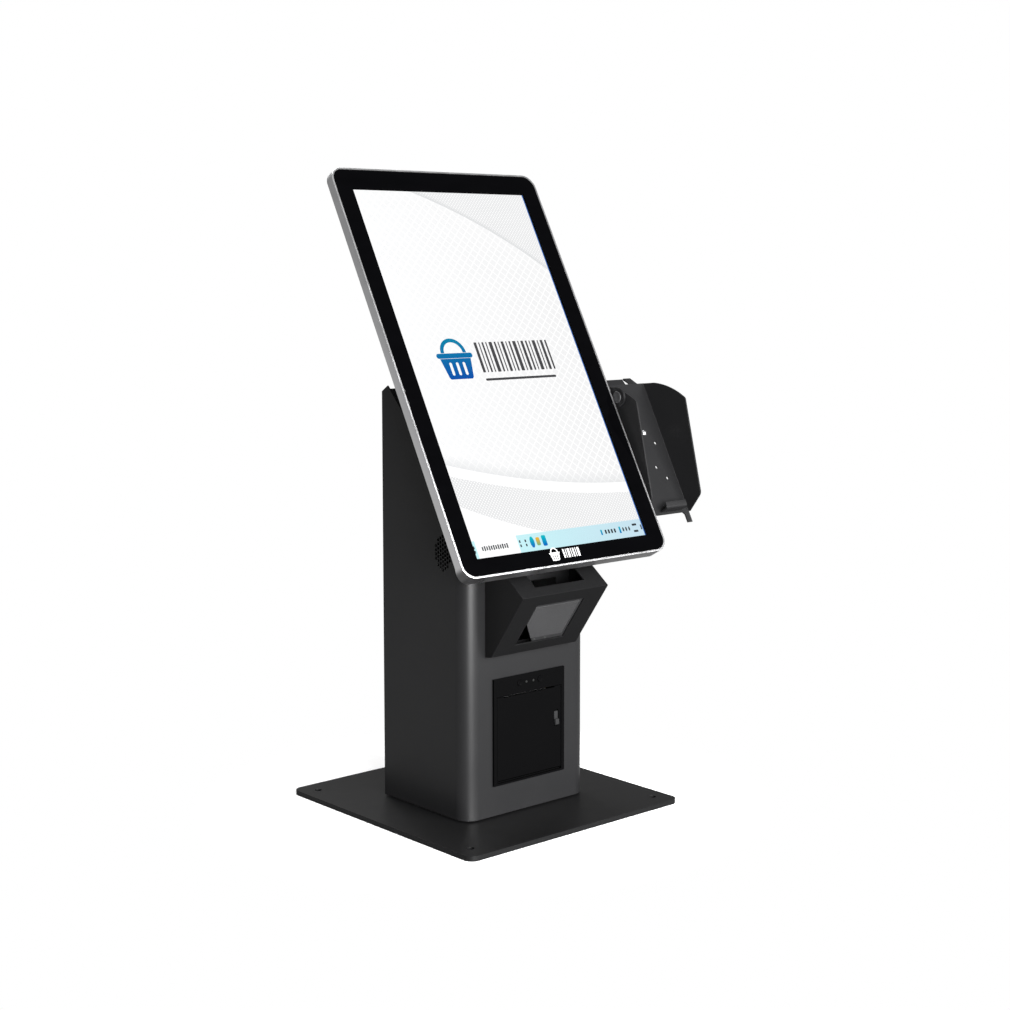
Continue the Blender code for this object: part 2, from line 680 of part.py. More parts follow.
def make_feed_train(skins, door):
    gear_low, gear_high = 48.6 * MM, 50.2 * MM
    platen = pivot("platen_axis", (0, *PLATEN_AXIS), door)
    platen_radius, shaft, half = 5 * MM, 2 * MM, 39.5 * MM
    profile = [(0, -47.6 * MM), (shaft, -47.6 * MM), (shaft, -half), (platen_radius, -half),
               (platen_radius, half), (shaft, half), (shaft, gear_low - GAP),
               (0, gear_low - GAP)]
    turned("platen_roller", skins["rubber"], profile, "X", PLATEN_AXIS, 16, parent=platen)
    prism("platen_gear", skins["black_plastic"], gear_outline(PLATEN_AXIS, 16, 8 * MM),
          gear_low, gear_high, "X", parent=platen)
    drive = pivot("drive_axis", (0, *DRIVE_AXIS))
    gear = prism("drive_gear", skins["brass"], gear_outline(DRIVE_AXIS, 23, 11.5 * MM),
                 gear_low, gear_high, "X", parent=drive)
    join(gear, turned("motor_shaft", None,
                      disc_profile(1.5 * MM, 45 * MM + GAP, gear_low + MM), "X",
                      DRIVE_AXIS, 10))


def make_paper_roll(skins):
    spool = pivot("paper_roll_axis", (0, *ROLL_AXIS))
    half = 39.5 * MM
    turned("paper_roll", skins["paper"], tube_profile(9 * MM, ROLL_RADIUS, -half, half), "X",
           ROLL_AXIS, 28, parent=spool)
    turned("roll_core", skins["grey_plastic"],
           tube_profile(6.5 * MM, 9 * MM - GAP, -half, half), "X", ROLL_AXIS, 16,
           parent=spool)


def make_printer_door(skins):
    """The drop-down door, with side arms that carry the platen and two hinge lugs."""
    door = pivot("printer_door_axis", (0, *DOOR_HINGE))
    panel = block("printer_door", skins["black_plastic"], (-DOOR_HALF, DOOR_FRONT, DOOR_BOTTOM),
                  (DOOR_HALF, DOOR_BACK, DOOR_TOP), parent=door)
    overlap = 0.5 * MM
    arm = [(DOOR_BACK - overlap, 58 * MM), (-80 * MM, 58 * MM), (-62.5 * MM, 122 * MM),
           (-62.5 * MM, 148 * MM), (DOOR_BACK - overlap, 148 * MM)]
    lug = arc(DOOR_HINGE, 2.5 * MM, 0, 360 - 30, 11)
    for side in (-1, 1):
        join(panel, prism("arm", None, arm, side * 46 * MM, side * 47.8 * MM, "X"))
        join(panel, prism("lug", None, lug, side * 41 * MM, side * 49 * MM, "X"))
        bore(panel, "shaft_cutter", "X", PLATEN_AXIS, 2.4 * MM, side * 45 * MM, side * 49 * MM,
             12)
    pocket = LATCH_HALF + 0.5 * MM
    cut(panel, block("latch_cutter", None, (LATCH_X - pocket, -95 * MM, 101.5 * MM),
                     (LATCH_X + pocket, DOOR_BACK - 0.6 * MM, 121.8 * MM)))
    bore(panel, "pin_cutter", "X", DOOR_HINGE, 1.5 * MM, -52 * MM, 52 * MM, 10)
    paper_half, paper_gap = 40.5 * MM, 1.4 * MM
    cut(panel, block("paper_exit", None, (-paper_half, DOOR_FRONT - MM, DOOR_TOP - paper_gap),
                     (paper_half, DOOR_BACK + MM, DOOR_TOP + MM)))
    turned("door_hinge_pin", skins["steel"], disc_profile(1.2 * MM, -50.6 * MM, 50.6 * MM), "X",
           DOOR_HINGE, 10)
    make_latch(skins, door)
    return door


def make_latch(skins, door):
    """A flush lever in the door, hinged at its upper end, with a knob at its lower end."""
    axle = pivot("door_latch_axis", (LATCH_X, *LATCH_AXIS), door)
    outline = [(-84.1, 118.2), (-84.7, 119.6), (-85.4, 119.6), (-85.5, 110.6), (-88, 109.8),
               (-88.3, 104.6), (-87.7, 103), (-85.6, 103), (-84.1, 114)]
    prism("door_latch", skins["grey_plastic"], [(y * MM, z * MM) for y, z in outline],
          LATCH_X - LATCH_HALF, LATCH_X + LATCH_HALF, "X", parent=axle)


# ---------------------------------------------------------------- rear

def make_rear_panel(skins):
    half = COLUMN_INNER - GAP
    panel = block("rear_panel", skins["powder_coat"], (-half, COLUMN_REAR - SHEET, COLUMN_FOOT),
                  (half, COLUMN_REAR, REAR_DOOR_BOTTOM - MM))
    past = 5 * MM
    openings = ((-62, 14, 10), (ROCKER_X / MM, 10, 7), (18, 8.5, 7.5))
    for x, wide, tall in openings:
        cut(panel, block("port_cutter", None,
                         ((x - wide) * MM, COLUMN_REAR - past, PANEL_Z - tall * MM),
                         ((x + wide) * MM, COLUMN_REAR + past, PANEL_Z + tall * MM)))
    sockets = (("power_inlet", -62, 13.5, 9.5, 28), ("network_socket", 18, 8, 7, 18))
    for name, x, wide, tall, deep in sockets:
        make_socket(skins, name, x * MM, wide * MM, tall * MM, deep * MM)
    make_rocker(skins)


def make_socket(skins, name, x, half_wide, half_tall, deep):
    """A socket in the rear panel, open at the back."""
    front = COLUMN_REAR - deep
    wall = 1.8 * MM
    socket = block(name, skins["black_plastic"], (x - half_wide, front, PANEL_Z - half_tall),
                   (x + half_wide, COLUMN_REAR + 0.6 * MM, PANEL_Z + half_tall))
    cut(socket, block(name + "_room", None,
                      (x - half_wide + wall, front + 3 * wall, PANEL_Z - half_tall + wall),
                      (x + half_wide - wall, COLUMN_REAR + 5 * MM,
                       PANEL_Z + half_tall - wall)))


def make_rocker(skins):
    half_wide, half_tall = 9.6 * MM, 6.6 * MM
    rim = 1.4 * MM
    frame = block("switch_frame", skins["black_plastic"],
                  (ROCKER_X - half_wide, COLUMN_REAR - 14 * MM, PANEL_Z - half_tall),
                  (ROCKER_X + half_wide, COLUMN_REAR + MM, PANEL_Z + half_tall))
    cut(frame, block("switch_room", None,
                     (ROCKER_X - half_wide + rim, COLUMN_REAR - 9 * MM,
                      PANEL_Z - half_tall + rim),
                     (ROCKER_X + half_wide - rim, COLUMN_REAR + 5 * MM,
                      PANEL_Z + half_tall - rim)))
    axle = pivot("power_rocker_axis", (ROCKER_X, COLUMN_REAR - 3 * MM, PANEL_Z))
    reach, tall = half_wide - rim - 0.6 * MM, half_tall - rim - 0.5 * MM
    low, mid, high = COLUMN_REAR - 5 * MM, COLUMN_REAR + 0.6 * MM, COLUMN_REAR + 1.6 * MM
    level = [(ROCKER_X - reach + MM, low), (ROCKER_X + reach - MM, low),
             (ROCKER_X + reach, high), (ROCKER_X, mid), (ROCKER_X - reach, high)]
    outline = rotated(level, (ROCKER_X, COLUMN_REAR - 3 * MM), -ROCKER_TILT)
    prism("power_rocker", skins["black_plastic"], outline, PANEL_Z - tall, PANEL_Z + tall, "Z",
          parent=axle)


def make_rear_door(skins):
    door = pivot("rear_door_axis", (*REAR_HINGE, 0))
    left, right = -COLUMN_INNER + 0.8 * MM, COLUMN_INNER - 1.8 * MM
    inner = COLUMN_REAR - SHEET
    fold, thick = 8 * MM, 1.5 * MM
    outline = [(left, COLUMN_REAR), (right, COLUMN_REAR), (right, inner - fold),
               (right - thick, inner - fold), (right - thick, inner),
               (left + thick, inner), (left + thick, inner - fold), (left, inner - fold)]
    panel = prism("rear_door", skins["powder_coat"], outline, REAR_DOOR_BOTTOM, REAR_DOOR_TOP,
                  "Z", parent=door)
    fold_top = 488 * MM
    across = 120 * MM
    cut(panel, block("fold_cutter", None, (-across, inner - 20 * MM, fold_top),
                     (across, inner - 0.01 * MM, REAR_DOOR_TOP + 16 * MM)))
    slots, spacing, half_slot = 6, 11 * MM, 45 * MM
    for row in range(slots):
        z = 420 * MM + row * spacing
        cut(panel, block("vent_cutter", None, (-half_slot, inner - 5 * MM, z),
                         (half_slot, COLUMN_REAR + 5 * MM, z + 4 * MM)))
    bore(panel, "lock_cutter", "Y", (LOCK_X, LOCK_Z), 9.4 * MM, inner - 5 * MM,
         COLUMN_REAR + 5 * MM)
    make_rear_hinges(skins, panel)
    make_lock(skins, door)


def make_rear_hinges(skins, panel):
    """Two lift-off hinges: a pin with a fixed barrel below, and the door's knuckle on it."""
    barrel, hole, pin = 2.7 * MM, 1.7 * MM, 1.4 * MM
    tall = 16 * MM
    leaf = 14 * MM
    for z, word in ((110 * MM, "lower"), (440 * MM, "upper")):
        profile = [(0, z - tall), (barrel, z - tall), (barrel, z), (pin, z),
                   (pin, z + tall), (0, z + tall)]
        turned("hinge_pin_" + word, skins["steel"], profile, "Z", REAR_HINGE, 12)
        low, high = z + GAP, z + GAP + tall
        join(panel, block("leaf", None, (REAR_HINGE[0] - leaf, COLUMN_REAR - MM, low),
                          (REAR_HINGE[0], COLUMN_REAR + 1.6 * MM, high)))
        join(panel, turned("knuckle", None, disc_profile(barrel, low, high), "Z",
                           REAR_HINGE, 12))
        bore(panel, "knuckle_cutter", "Z", REAR_HINGE, hole, low - MM, high + MM, 12)


def make_lock(skins, door):
    collar = [(5.3 * MM, 80 * MM), (9 * MM, 80 * MM), (11 * MM, 79 * MM), (11 * MM, 77.3 * MM),
              (9 * MM, 77.3 * MM), (9 * MM, 63 * MM), (5.3 * MM, 63 * MM)]
    turned("lock_housing", skins["steel"], collar, "Y", (LOCK_X, LOCK_Z), 20, parent=door)
    axle = pivot("rear_lock_axis", (LOCK_X, COLUMN_REAR, LOCK_Z), door)
    plug = turned("lock_plug", skins["brass"], disc_profile(5 * MM, 62 * MM, 80.3 * MM), "Y",
                  (LOCK_X, LOCK_Z), 16, parent=axle)
    cut(plug, block("key_cutter", None, (LOCK_X - 0.8 * MM, 74 * MM, LOCK_Z - 3 * MM),
                    (LOCK_X + 0.8 * MM, 84 * MM, LOCK_Z + 3 * MM)))
    tip, half = LOCK_Z + 16.5 * MM, 5 * MM
    tongue = [(LOCK_X - half, LOCK_Z - 6 * MM), (LOCK_X + half, LOCK_Z - 6 * MM),
              (LOCK_X + half, tip), (LOCK_X - half, tip)]
    prism("lock_cam", skins["steel"], tongue, 59.6 * MM, 61.6 * MM, "Y", parent=axle)


# ---------------------------------------------------------------- terminal cradle

def make_cradle_arm(skins):
    """A bent arm from the column's side, behind the display, to the cradle's pivot."""
    wall = COLUMN_HALF + GAP
    turn_y, foot_end = 9 * MM, 46 * MM
    low, high = 400 * MM, 509 * MM
    line = [(ARM_LEFT + ARM_SHEET, CRADLE_PIVOT[0] - 12 * MM), (ARM_LEFT + ARM_SHEET, turn_y),
            (wall + ARM_SHEET, turn_y), (wall + ARM_SHEET, foot_end)]
    outline = line + offset_line(line, -ARM_SHEET)[::-1]
    arm = prism("cradle_arm", skins["powder_coat"], outline, low, high, "Z")
    y, z = CRADLE_PIVOT
    radius = 12 * MM
    nose = [(y - 20 * MM, z + 20 * MM), (y, z + 20 * MM)]
    nose += arc((y, z), radius, 90, 250, 10)
    nose += [(-9 * MM, 450 * MM), (-9 * MM, 380 * MM), (y - 20 * MM, 380 * MM)]
    cut(arm, prism("nose_cutter", None, nose, ARM_LEFT - 2 * MM, ARM_LEFT + 2 * ARM_SHEET, "X"))
    above, foot_top = high + 11 * MM, 448 * MM
    cut(arm, block("foot_cutter", None, (90 * MM, turn_y + MM, foot_top),
                   (110 * MM, 60 * MM, above)))
    slope = [(100 * MM, above), (100 * MM, 460 * MM), (158 * MM, above)]
    cut(arm, prism("web_cutter", None, slope, -5 * MM, 11 * MM, "Y"))
    bore(arm, "pivot_cutter", "X", CRADLE_PIVOT, 4.4 * MM, ARM_LEFT - MM,
         ARM_LEFT + ARM_SHEET + MM)
    for number, y_screw in ((1, 20 * MM), (2, 36 * MM)):
        start = wall + ARM_SHEET + GAP
        turned(f"arm_screw_{number}", skins["steel"],
               disc_profile(4 * MM, start, start + 2.5 * MM), "X", (y_screw, 424 * MM), 12)
    bolt = [(0, ARM_LEFT - 2 * MM), (6.6 * MM, ARM_LEFT - 2 * MM),
            (7.4 * MM, ARM_LEFT - 1.2 * MM), (7.4 * MM, ARM_LEFT - GAP),
            (4 * MM, ARM_LEFT - GAP), (4 * MM, CRADLE_LEFT + SHEET + GAP),
            (6.5 * MM, CRADLE_LEFT + SHEET + GAP), (6.5 * MM, CRADLE_LEFT + SHEET + 4 * MM),
            (0, CRADLE_LEFT + SHEET + 4 * MM)]
    turned("pivot_bolt", skins["steel"], bolt, "X", CRADLE_PIVOT, 18)


def wall_outline():
    """A side wall of the cradle, as (y, z) below the plate's top corner."""
    crown, shoulder, heel = (37, -106.8), (-54.6, -49.4), (-22, -162)
    points = [(0, 0)] + arc(crown, 113.4, 118.5, 144, 5)
    points += arc(shoulder, 5.4, 160, 193, 3) + arc(heel, 9, 193, 240, 3)
    return [(y * MM, z * MM) for y, z in points] + [(0, -181 * MM)]


def tab_outline(lap, back, up):
    """A tab bent back from the plate's top edge, as (y, z); lap is its part in the plate."""
    thick = 1.4 * MM
    return [(lap, -MM), (lap, lap), (back, up), (back + thick, up - thick),
            (SHEET - lap, -MM)]


def cradle_piece(bm, name, skin, **where):
    return finish(bm, name, skin, place=(0, *CRADLE_TOP), tip=-CRADLE_TILT, **where)


def make_cradle(skins):
    """A U of bent sheet with two side walls, a lip at its foot and two tabs at its top."""
    axle = pivot("cradle_axis", ((ARM_LEFT + CRADLE_LEFT) / 2, *CRADLE_PIVOT))
    foot, leg = -181 * MM, -195 * MM
    leg_left = CRADLE_RIGHT - 10 * MM
    plate = [(CRADLE_LEFT, 0), (CRADLE_LEFT, foot), (leg_left - 3 * MM, foot),
             (leg_left, foot - 3 * MM), (leg_left, leg), (CRADLE_RIGHT, leg), (CRADLE_RIGHT, 0)]
    cradle = cradle_piece(prism_mesh(plate, 0, SHEET, "Y"), "terminal_cradle",
                          skins["powder_coat"], parent=axle)
    lap = 0.5 * MM
    wall = [(lap if y == 0 else y, z) for y, z in wall_outline()]
    for start in (CRADLE_LEFT, CRADLE_RIGHT - SHEET):
        join(cradle, cradle_piece(prism_mesh(wall, start, start + SHEET, "X"), "wall", None))
    tabs = ((178, 222, 3, 8.5), (230, 243, 9, 12))
    for low, high, back, up in tabs:
        tab = tab_outline(lap, back * MM, up * MM)
        join(cradle, cradle_piece(prism_mesh(tab, low * MM, high * MM, "X"), "tab", None))
    shelf_low, depth, lip = -178 * MM, -14 * MM, 9 * MM
    shelf = [(lap, shelf_low), (lap, shelf_low + SHEET), (depth + SHEET, shelf_low + SHEET),
             (depth + SHEET, shelf_low + lip), (depth, shelf_low + lip), (depth, shelf_low)]
    join(cradle, cradle_piece(prism_mesh(shelf, 204 * MM, 240 * MM, "X"), "shelf", None))
    holes = ((238 * MM, -84 * MM, 2.2 * MM), (225 * MM, -117 * MM, 2.2 * MM),
             (237.5 * MM, -133 * MM, 2.2 * MM), (224.5 * MM, -69 * MM, 2.2 * MM))
    for x, z, radius in holes:
        bore(cradle, "hole_cutter", "Y", (x, z), radius, -MM, SHEET + MM, 12,
             place=(0, *CRADLE_TOP), tip=-CRADLE_TILT)
    bore(cradle, "pivot_cutter", "X", CRADLE_PIVOT, 4.4 * MM, CRADLE_LEFT - MM,
         CRADLE_LEFT + SHEET + MM)
    head = [(0, -2.6 * MM), (2.2 * MM, -2.4 * MM), (4 * MM, -GAP), (1.8 * MM, -GAP),
            (1.8 * MM, SHEET + 2 * MM), (0, SHEET + 2 * MM)]
    turned("terminal_screw", skins["steel"], head, "Y", (224.5 * MM, -69 * MM), 14,
           place=(0, *CRADLE_TOP), tip=-CRADLE_TILT, parent=axle)


def main():
    clear_scene()
    skins = make_materials()
    make_base(skins)
    make_foot_angles(skins)
    make_column(skins)
    make_top_cover(skins)
    make_chassis(skins)
    make_speakers(skins)
    make_display(skins)
    make_display_mount(skins)
    make_scanner(skins)
    make_printer_bezel(skins)
    make_printer_bucket(skins)
    make_printer_controls(skins)
    make_print_mechanism(skins)
    make_paper_roll(skins)
    door = make_printer_door(skins)
    make_feed_train(skins, door)
    make_rear_panel(skins)
    make_rear_door(skins)
    make_cradle_arm(skins)
    make_cradle(skins)


main()
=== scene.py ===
"""Looks of the self checkout kiosk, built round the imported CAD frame.

Everything is in metres in the frame's own axes: X to the right of a person facing the
display, front towards -Y, +Z up, origin at the centre of the base plate's underside.
"""
import json
import math

import bmesh
import bpy
from mathutils import Matrix, Vector


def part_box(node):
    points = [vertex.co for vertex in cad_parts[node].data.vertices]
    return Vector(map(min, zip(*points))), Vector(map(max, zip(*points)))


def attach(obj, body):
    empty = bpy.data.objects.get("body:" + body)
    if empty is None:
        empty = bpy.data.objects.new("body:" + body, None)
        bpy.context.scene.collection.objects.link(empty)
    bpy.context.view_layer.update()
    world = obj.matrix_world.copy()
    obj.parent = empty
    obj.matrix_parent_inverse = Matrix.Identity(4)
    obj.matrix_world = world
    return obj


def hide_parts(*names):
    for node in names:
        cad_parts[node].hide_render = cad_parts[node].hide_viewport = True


MM = 0.001
SHEET = 2 * MM                       # steel sheet of the column and the cradle
DISPLAY_TILT = math.radians(29)
SCREEN_CENTRE = (0.0, -35 * MM, 544 * MM)
GLASS_CORNER = 15 * MM
WINDOW_HALF_X = 134 * MM             # the clear, lit part of the glass
WINDOW_HALF_Z = 238.3 * MM
CRADLE_TILT = math.radians(28)
CRADLE_TOP = (0.0, -20 * MM, 508 * MM)
HOOD_LIP = (-94.2 * MM, 203.6 * MM)
HOOD_FACE_TILT = math.radians(36.28)

# Where the camera stands, and how it looks at the kiosk
CAMERA_PLACE = (-1.39439, -1.6878, 0.67203)
CAMERA_TURN = math.radians(-43.07)
CAMERA_RISE = math.radians(5.56)
CAMERA_ROLL = math.radians(0.21)
CAMERA_LENS = 64.0
CAMERA_SHIFT = (-0.0873, -0.0724)

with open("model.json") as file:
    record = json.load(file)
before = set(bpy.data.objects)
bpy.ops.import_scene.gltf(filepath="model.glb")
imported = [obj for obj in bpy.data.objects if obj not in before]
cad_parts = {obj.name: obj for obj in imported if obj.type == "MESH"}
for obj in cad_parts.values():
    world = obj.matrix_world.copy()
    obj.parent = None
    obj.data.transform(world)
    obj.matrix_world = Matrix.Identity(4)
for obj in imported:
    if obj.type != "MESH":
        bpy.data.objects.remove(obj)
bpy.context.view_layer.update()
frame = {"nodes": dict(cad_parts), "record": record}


# ---------------------------------------------------------------- outlines

def arc(centre, radius, start, end, steps):
    """Points of a round stretch, angles in degrees."""
    turns = [math.radians(start + (end - start) * i / steps) for i in range(steps + 1)]
    return [(centre[0] + radius * math.cos(t), centre[1] + radius * math.sin(t))
            for t in turns]


def rounded(left, bottom, right, top, radius, steps=10):
    """A rectangle with round corners, anticlockwise."""
    corners = ((right - radius, top - radius, 0), (left + radius, top - radius, 90),
               (left + radius, bottom + radius, 180), (right - radius, bottom + radius, 270))
    points = []
    for x, z, start in corners:
        points += arc((x, z), radius, start, start + 90, steps)
    return points


def circle(centre, radius, steps=24):
    return arc(centre, radius, 0, 360 - 360 / steps, steps - 1)


def scaled(points, scale, centre=(0, 0)):
    return [(centre[0] + a * scale, centre[1] + b * scale) for a, b in points]


# ---------------------------------------------------------------- mesh tools

def placed(a, b, depth, axis):
    """A flat outline's point with its depth along the axis that it faces."""
    return {"X": (depth, a, b), "Y": (a, depth, b), "Z": (a, b, depth)}[axis]


def slab(loops, low, high, axis):
    """A plate between two depths: the first loop is its outline, the others are holes."""
    bm = bmesh.new()
    edges = []
    for loop in loops:
        ring = [bm.verts.new(placed(a, b, low, axis)) for a, b in loop]
        edges += [bm.edges.new(pair) for pair in zip(ring, ring[1:] + ring[:1])]
    filled = bmesh.ops.triangle_fill(bm, edges=edges, use_beauty=True)
    faces = [item for item in filled["geom"] if isinstance(item, bmesh.types.BMFace)]
    moved = bmesh.ops.extrude_face_region(bm, geom=faces, use_keep_orig=True)
    offset = Vector(placed(0, 0, high - low, axis))
    bmesh.ops.translate(bm, vec=offset, verts=[v for v in moved["geom"]
                                               if isinstance(v, bmesh.types.BMVert)])
    bmesh.ops.recalc_face_normals(bm, faces=bm.faces)
    return bm


def lathe(profile, axis, centre, steps=40):
    """Turn (radius, depth) points about a line along an axis through centre."""
    bm = bmesh.new()
    rings = []
    for radius, depth in profile:
        if radius < 1e-7:
            rings.append([bm.verts.new(placed(*centre, depth, axis))])
        else:
            rings.append([bm.verts.new(placed(*point, depth, axis))
                          for point in circle(centre, radius, steps)])
    for first, second in zip(rings, rings[1:]):
        for i in range(steps):
            j = (i + 1) % steps
            corners = [first[i % len(first)], first[j % len(first)],
                       second[j % len(second)], second[i % len(second)]]
            bm.faces.new(list(dict.fromkeys(corners)))
    bmesh.ops.recalc_face_normals(bm, faces=bm.faces)
    return bm


def loft(rings):
    """Skin a closed band through rings of equally many points, back to the first ring."""
    bm = bmesh.new()
    loops = [[bm.verts.new(point) for point in ring] for ring in rings]
    count = len(loops[0])
    for first, second in zip(loops, loops[1:] + loops[:1]):
        for i in range(count):
            j = (i + 1) % count
            bm.faces.new((first[i], first[j], second[j], second[i]))
    bmesh.ops.recalc_face_normals(bm, faces=bm.faces)
    return bm


def bend(bm, flat_half, radius, outside, direction, steps=10):
    """Fold a sheet drawn flat in X and Z, its outer face at Y 0, round two vertical edges."""
    quarter = radius * math.pi / 2
    for side in (-1, 1):
        for i in range(steps + 1):
            line = side * (flat_half + quarter * i / steps)
            bmesh.ops.bisect_plane(bm, geom=bm.verts[:] + bm.edges[:] + bm.faces[:],
                                   dist=1e-7, plane_co=(line, 0, 0), plane_no=(1, 0, 0))
    for vert in bm.verts:
        s, depth = vert.co.x, vert.co.y
        side, past = math.copysign(1, s), abs(s) - flat_half
        across, inward = abs(s), depth
        if past > 0:
            turn = min(past, quarter) / radius
            across = flat_half + (radius - depth) * math.sin(turn)
            inward = radius - (radius - depth) * math.cos(turn) + max(past - quarter, 0)
        vert.co.x, vert.co.y = side * across, outside + direction * inward
    bmesh.ops.recalc_face_normals(bm, faces=bm.faces)
    return bm


def merged(*parts):
    """Several meshes in one."""
    whole = bmesh.new()
    for part in parts:
        mesh = bpy.data.meshes.new("part")
        part.to_mesh(mesh)
        part.free()
        whole.from_mesh(mesh)
        bpy.data.meshes.remove(mesh)
    return whole


def soften(item, width, angle=40, segments=3):
    """Round an object's sharp edges, so that they catch light as real ones do."""
    for face in item.data.polygons:
        face.use_smooth = True
    rounding = item.modifiers.new("rounded_edges", "BEVEL")
    rounding.width = width
    rounding.segments = segments
    rounding.limit_method = "ANGLE"
    rounding.angle_limit = math.radians(angle)
    rounding.harden_normals = True


def piece(name, bm, skin, body, stands_for=(), place=None, edge=0.4 * MM, angle=40):
    """Make a mesh a finished piece of the object, riding on its body."""
    mesh = bpy.data.meshes.new(name)
    bm.to_mesh(mesh)
    bm.free()
    mesh.materials.append(skin)
    item = bpy.data.objects.new(name, mesh)
    bpy.context.scene.collection.objects.link(item)
    if place is not None:
        item.matrix_world = place
    if edge:
        soften(item, edge, angle)
    else:
        mesh.shade_smooth()
        mesh.set_sharp_from_angle(angle=math.radians(angle))
    if stands_for:
        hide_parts(*stands_for)
    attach(item, body)
    return item


def tipped(origin, tip):
    """A local frame with X across, Y into the piece and Z up its face."""
    return Matrix.Translation(origin) @ Matrix.Rotation(tip, 4, "X")


def local_box(node, place):
    """A CAD node's lowest and highest corner, measured in a tipped frame."""
    back = place.inverted()
    points = [back @ v.co for v in frame["nodes"][node].data.vertices]
    low = Vector([min(p[i] for p in points) for i in range(3)])
    high = Vector([max(p[i] for p in points) for i in range(3)])
    return low, high


# ---------------------------------------------------------------- materials

class Skin:
    """A material's node tree, with short calls for the nodes used here."""

    def __init__(self, name):
        self.material = bpy.data.materials.new(name)
        self.material.use_nodes = True
        self.tree = self.material.node_tree
        self.shader = self.tree.nodes["Principled BSDF"]
        self.output = self.tree.nodes["Material Output"]
        coordinates = self.tree.nodes.new("ShaderNodeTexCoord")
        self.position = coordinates.outputs["Object"]

    def feed(self, value, socket):
        if isinstance(value, bpy.types.NodeSocket):
            self.tree.links.new(value, socket)
        else:
            socket.default_value = value

    def math(self, operation, a, b=0.0, c=0.0):
        node = self.tree.nodes.new("ShaderNodeMath")
        node.operation = operation
        for value, socket in zip((a, b, c), node.inputs):
            self.feed(value, socket)
        return node.outputs[0]

    def noise(self, scale, detail=2.0, stretch=(1, 1, 1)):
        """Noise with about scale features to a metre along each axis."""
        mapping = self.tree.nodes.new("ShaderNodeMapping")
        mapping.inputs["Scale"].default_value = stretch
        self.feed(self.position, mapping.inputs["Vector"])
        node = self.tree.nodes.new("ShaderNodeTexNoise")
        node.inputs["Scale"].default_value = scale
        node.inputs["Detail"].default_value = detail
        self.feed(mapping.outputs[0], node.inputs["Vector"])
        return node.outputs["Fac"]

    def spread(self, value, low, high):
        """Noise turned into values between two limits."""
        node = self.tree.nodes.new("ShaderNodeMapRange")
        self.feed(value, node.inputs["Value"])
        node.inputs["From Min"].default_value = 0.3
        node.inputs["From Max"].default_value = 0.7
        node.inputs["To Min"].default_value = low
        node.inputs["To Max"].default_value = high
        return node.outputs[0]

    def mix(self, share, first, second):
        node = self.tree.nodes.new("ShaderNodeMix")
        node.data_type = "RGBA"
        self.feed(share, node.inputs["Factor"])
        for value, socket in ((first, node.inputs[6]), (second, node.inputs[7])):
            if not isinstance(value, bpy.types.NodeSocket):
                value = (*value, 1.0)
            self.feed(value, socket)
        return node.outputs[2]

    def bump(self, height, distance, under=None):
        """Relief of that many metres; under is the bump below it."""
        node = self.tree.nodes.new("ShaderNodeBump")
        node.inputs["Distance"].default_value = distance
        self.feed(height, node.inputs["Height"])
        if under is not None:
            self.feed(under, node.inputs["Normal"])
        return node.outputs["Normal"]

    def set(self, **inputs):
        for name, value in inputs.items():
            socket = self.shader.inputs[name.replace("_", " ").title().replace("Ior", "IOR")]
            if isinstance(value, tuple) and len(value) == 3:
                value = (*value, 1.0)
            self.feed(value, socket)
        return self.material


def powder_coat(name, colour, roughness=0.46, shine=0.22):
    """Satin powder paint: a fine orange-peel relief and slightly uneven gloss."""
    skin = Skin(name)
    cloud = skin.noise(9, 3)
    tint = skin.mix(skin.spread(cloud, 0, 1), tuple(c * 0.95 for c in colour),
                    tuple(c * 1.05 for c in colour))
    peel = skin.bump(skin.noise(900, 2), 0.00005)
    grain = skin.bump(skin.noise(3200, 1), 0.00002, peel)
    gloss = skin.spread(skin.noise(40, 2), roughness - 0.012, roughness + 0.012)
    return skin.set(base_color=tint, roughness=gloss, normal=grain, specular_ior_level=shine)


def anodised(name, colour, roughness):
    """Bead-blasted, anodised aluminium."""
    skin = Skin(name)
    tint = skin.mix(skin.noise(14, 2), tuple(c * 0.92 for c in colour), colour)
    grain = skin.bump(skin.noise(2600, 2), 0.000004)
    gloss = skin.spread(skin.noise(60, 2), roughness - 0.03, roughness + 0.03)
    return skin.set(base_color=tint, roughness=gloss, normal=grain, metallic=1.0)


def brushed(name, colour, roughness=0.34):
    """Zinc-plated sheet and fasteners, with fine lines along X."""
    skin = Skin(name)
    lines = skin.noise(900, 2, (0.03, 1, 1))
    tint = skin.mix(skin.noise(30, 3), tuple(c * 0.8 for c in colour), colour)
    gloss = skin.spread(lines, roughness - 0.08, roughness + 0.08)
    return skin.set(base_color=tint, roughness=gloss, metallic=1.0,
                    normal=skin.bump(lines, 0.00002))


def moulded(name, colour, roughness=0.42, relief=0.00003):
    """Moulded plastic with a spark-eroded surface."""
    skin = Skin(name)
    spark = skin.noise(2400, 3)
    tint = skin.mix(skin.noise(20, 2), tuple(c * 0.88 for c in colour), colour)
    gloss = skin.spread(spark, roughness - 0.06, roughness + 0.06)
    return skin.set(base_color=tint, roughness=gloss, normal=skin.bump(spark, relief),
                    specular_ior_level=0.018)


def rubber(name):
    skin = Skin(name)
    grain = skin.noise(1500, 3)
    tint = skin.mix(grain, (0.012, 0.012, 0.012), (0.024, 0.024, 0.024))
    return skin.set(base_color=tint, roughness=skin.spread(grain, 0.7, 0.85),
                    normal=skin.bump(grain, 0.00006))


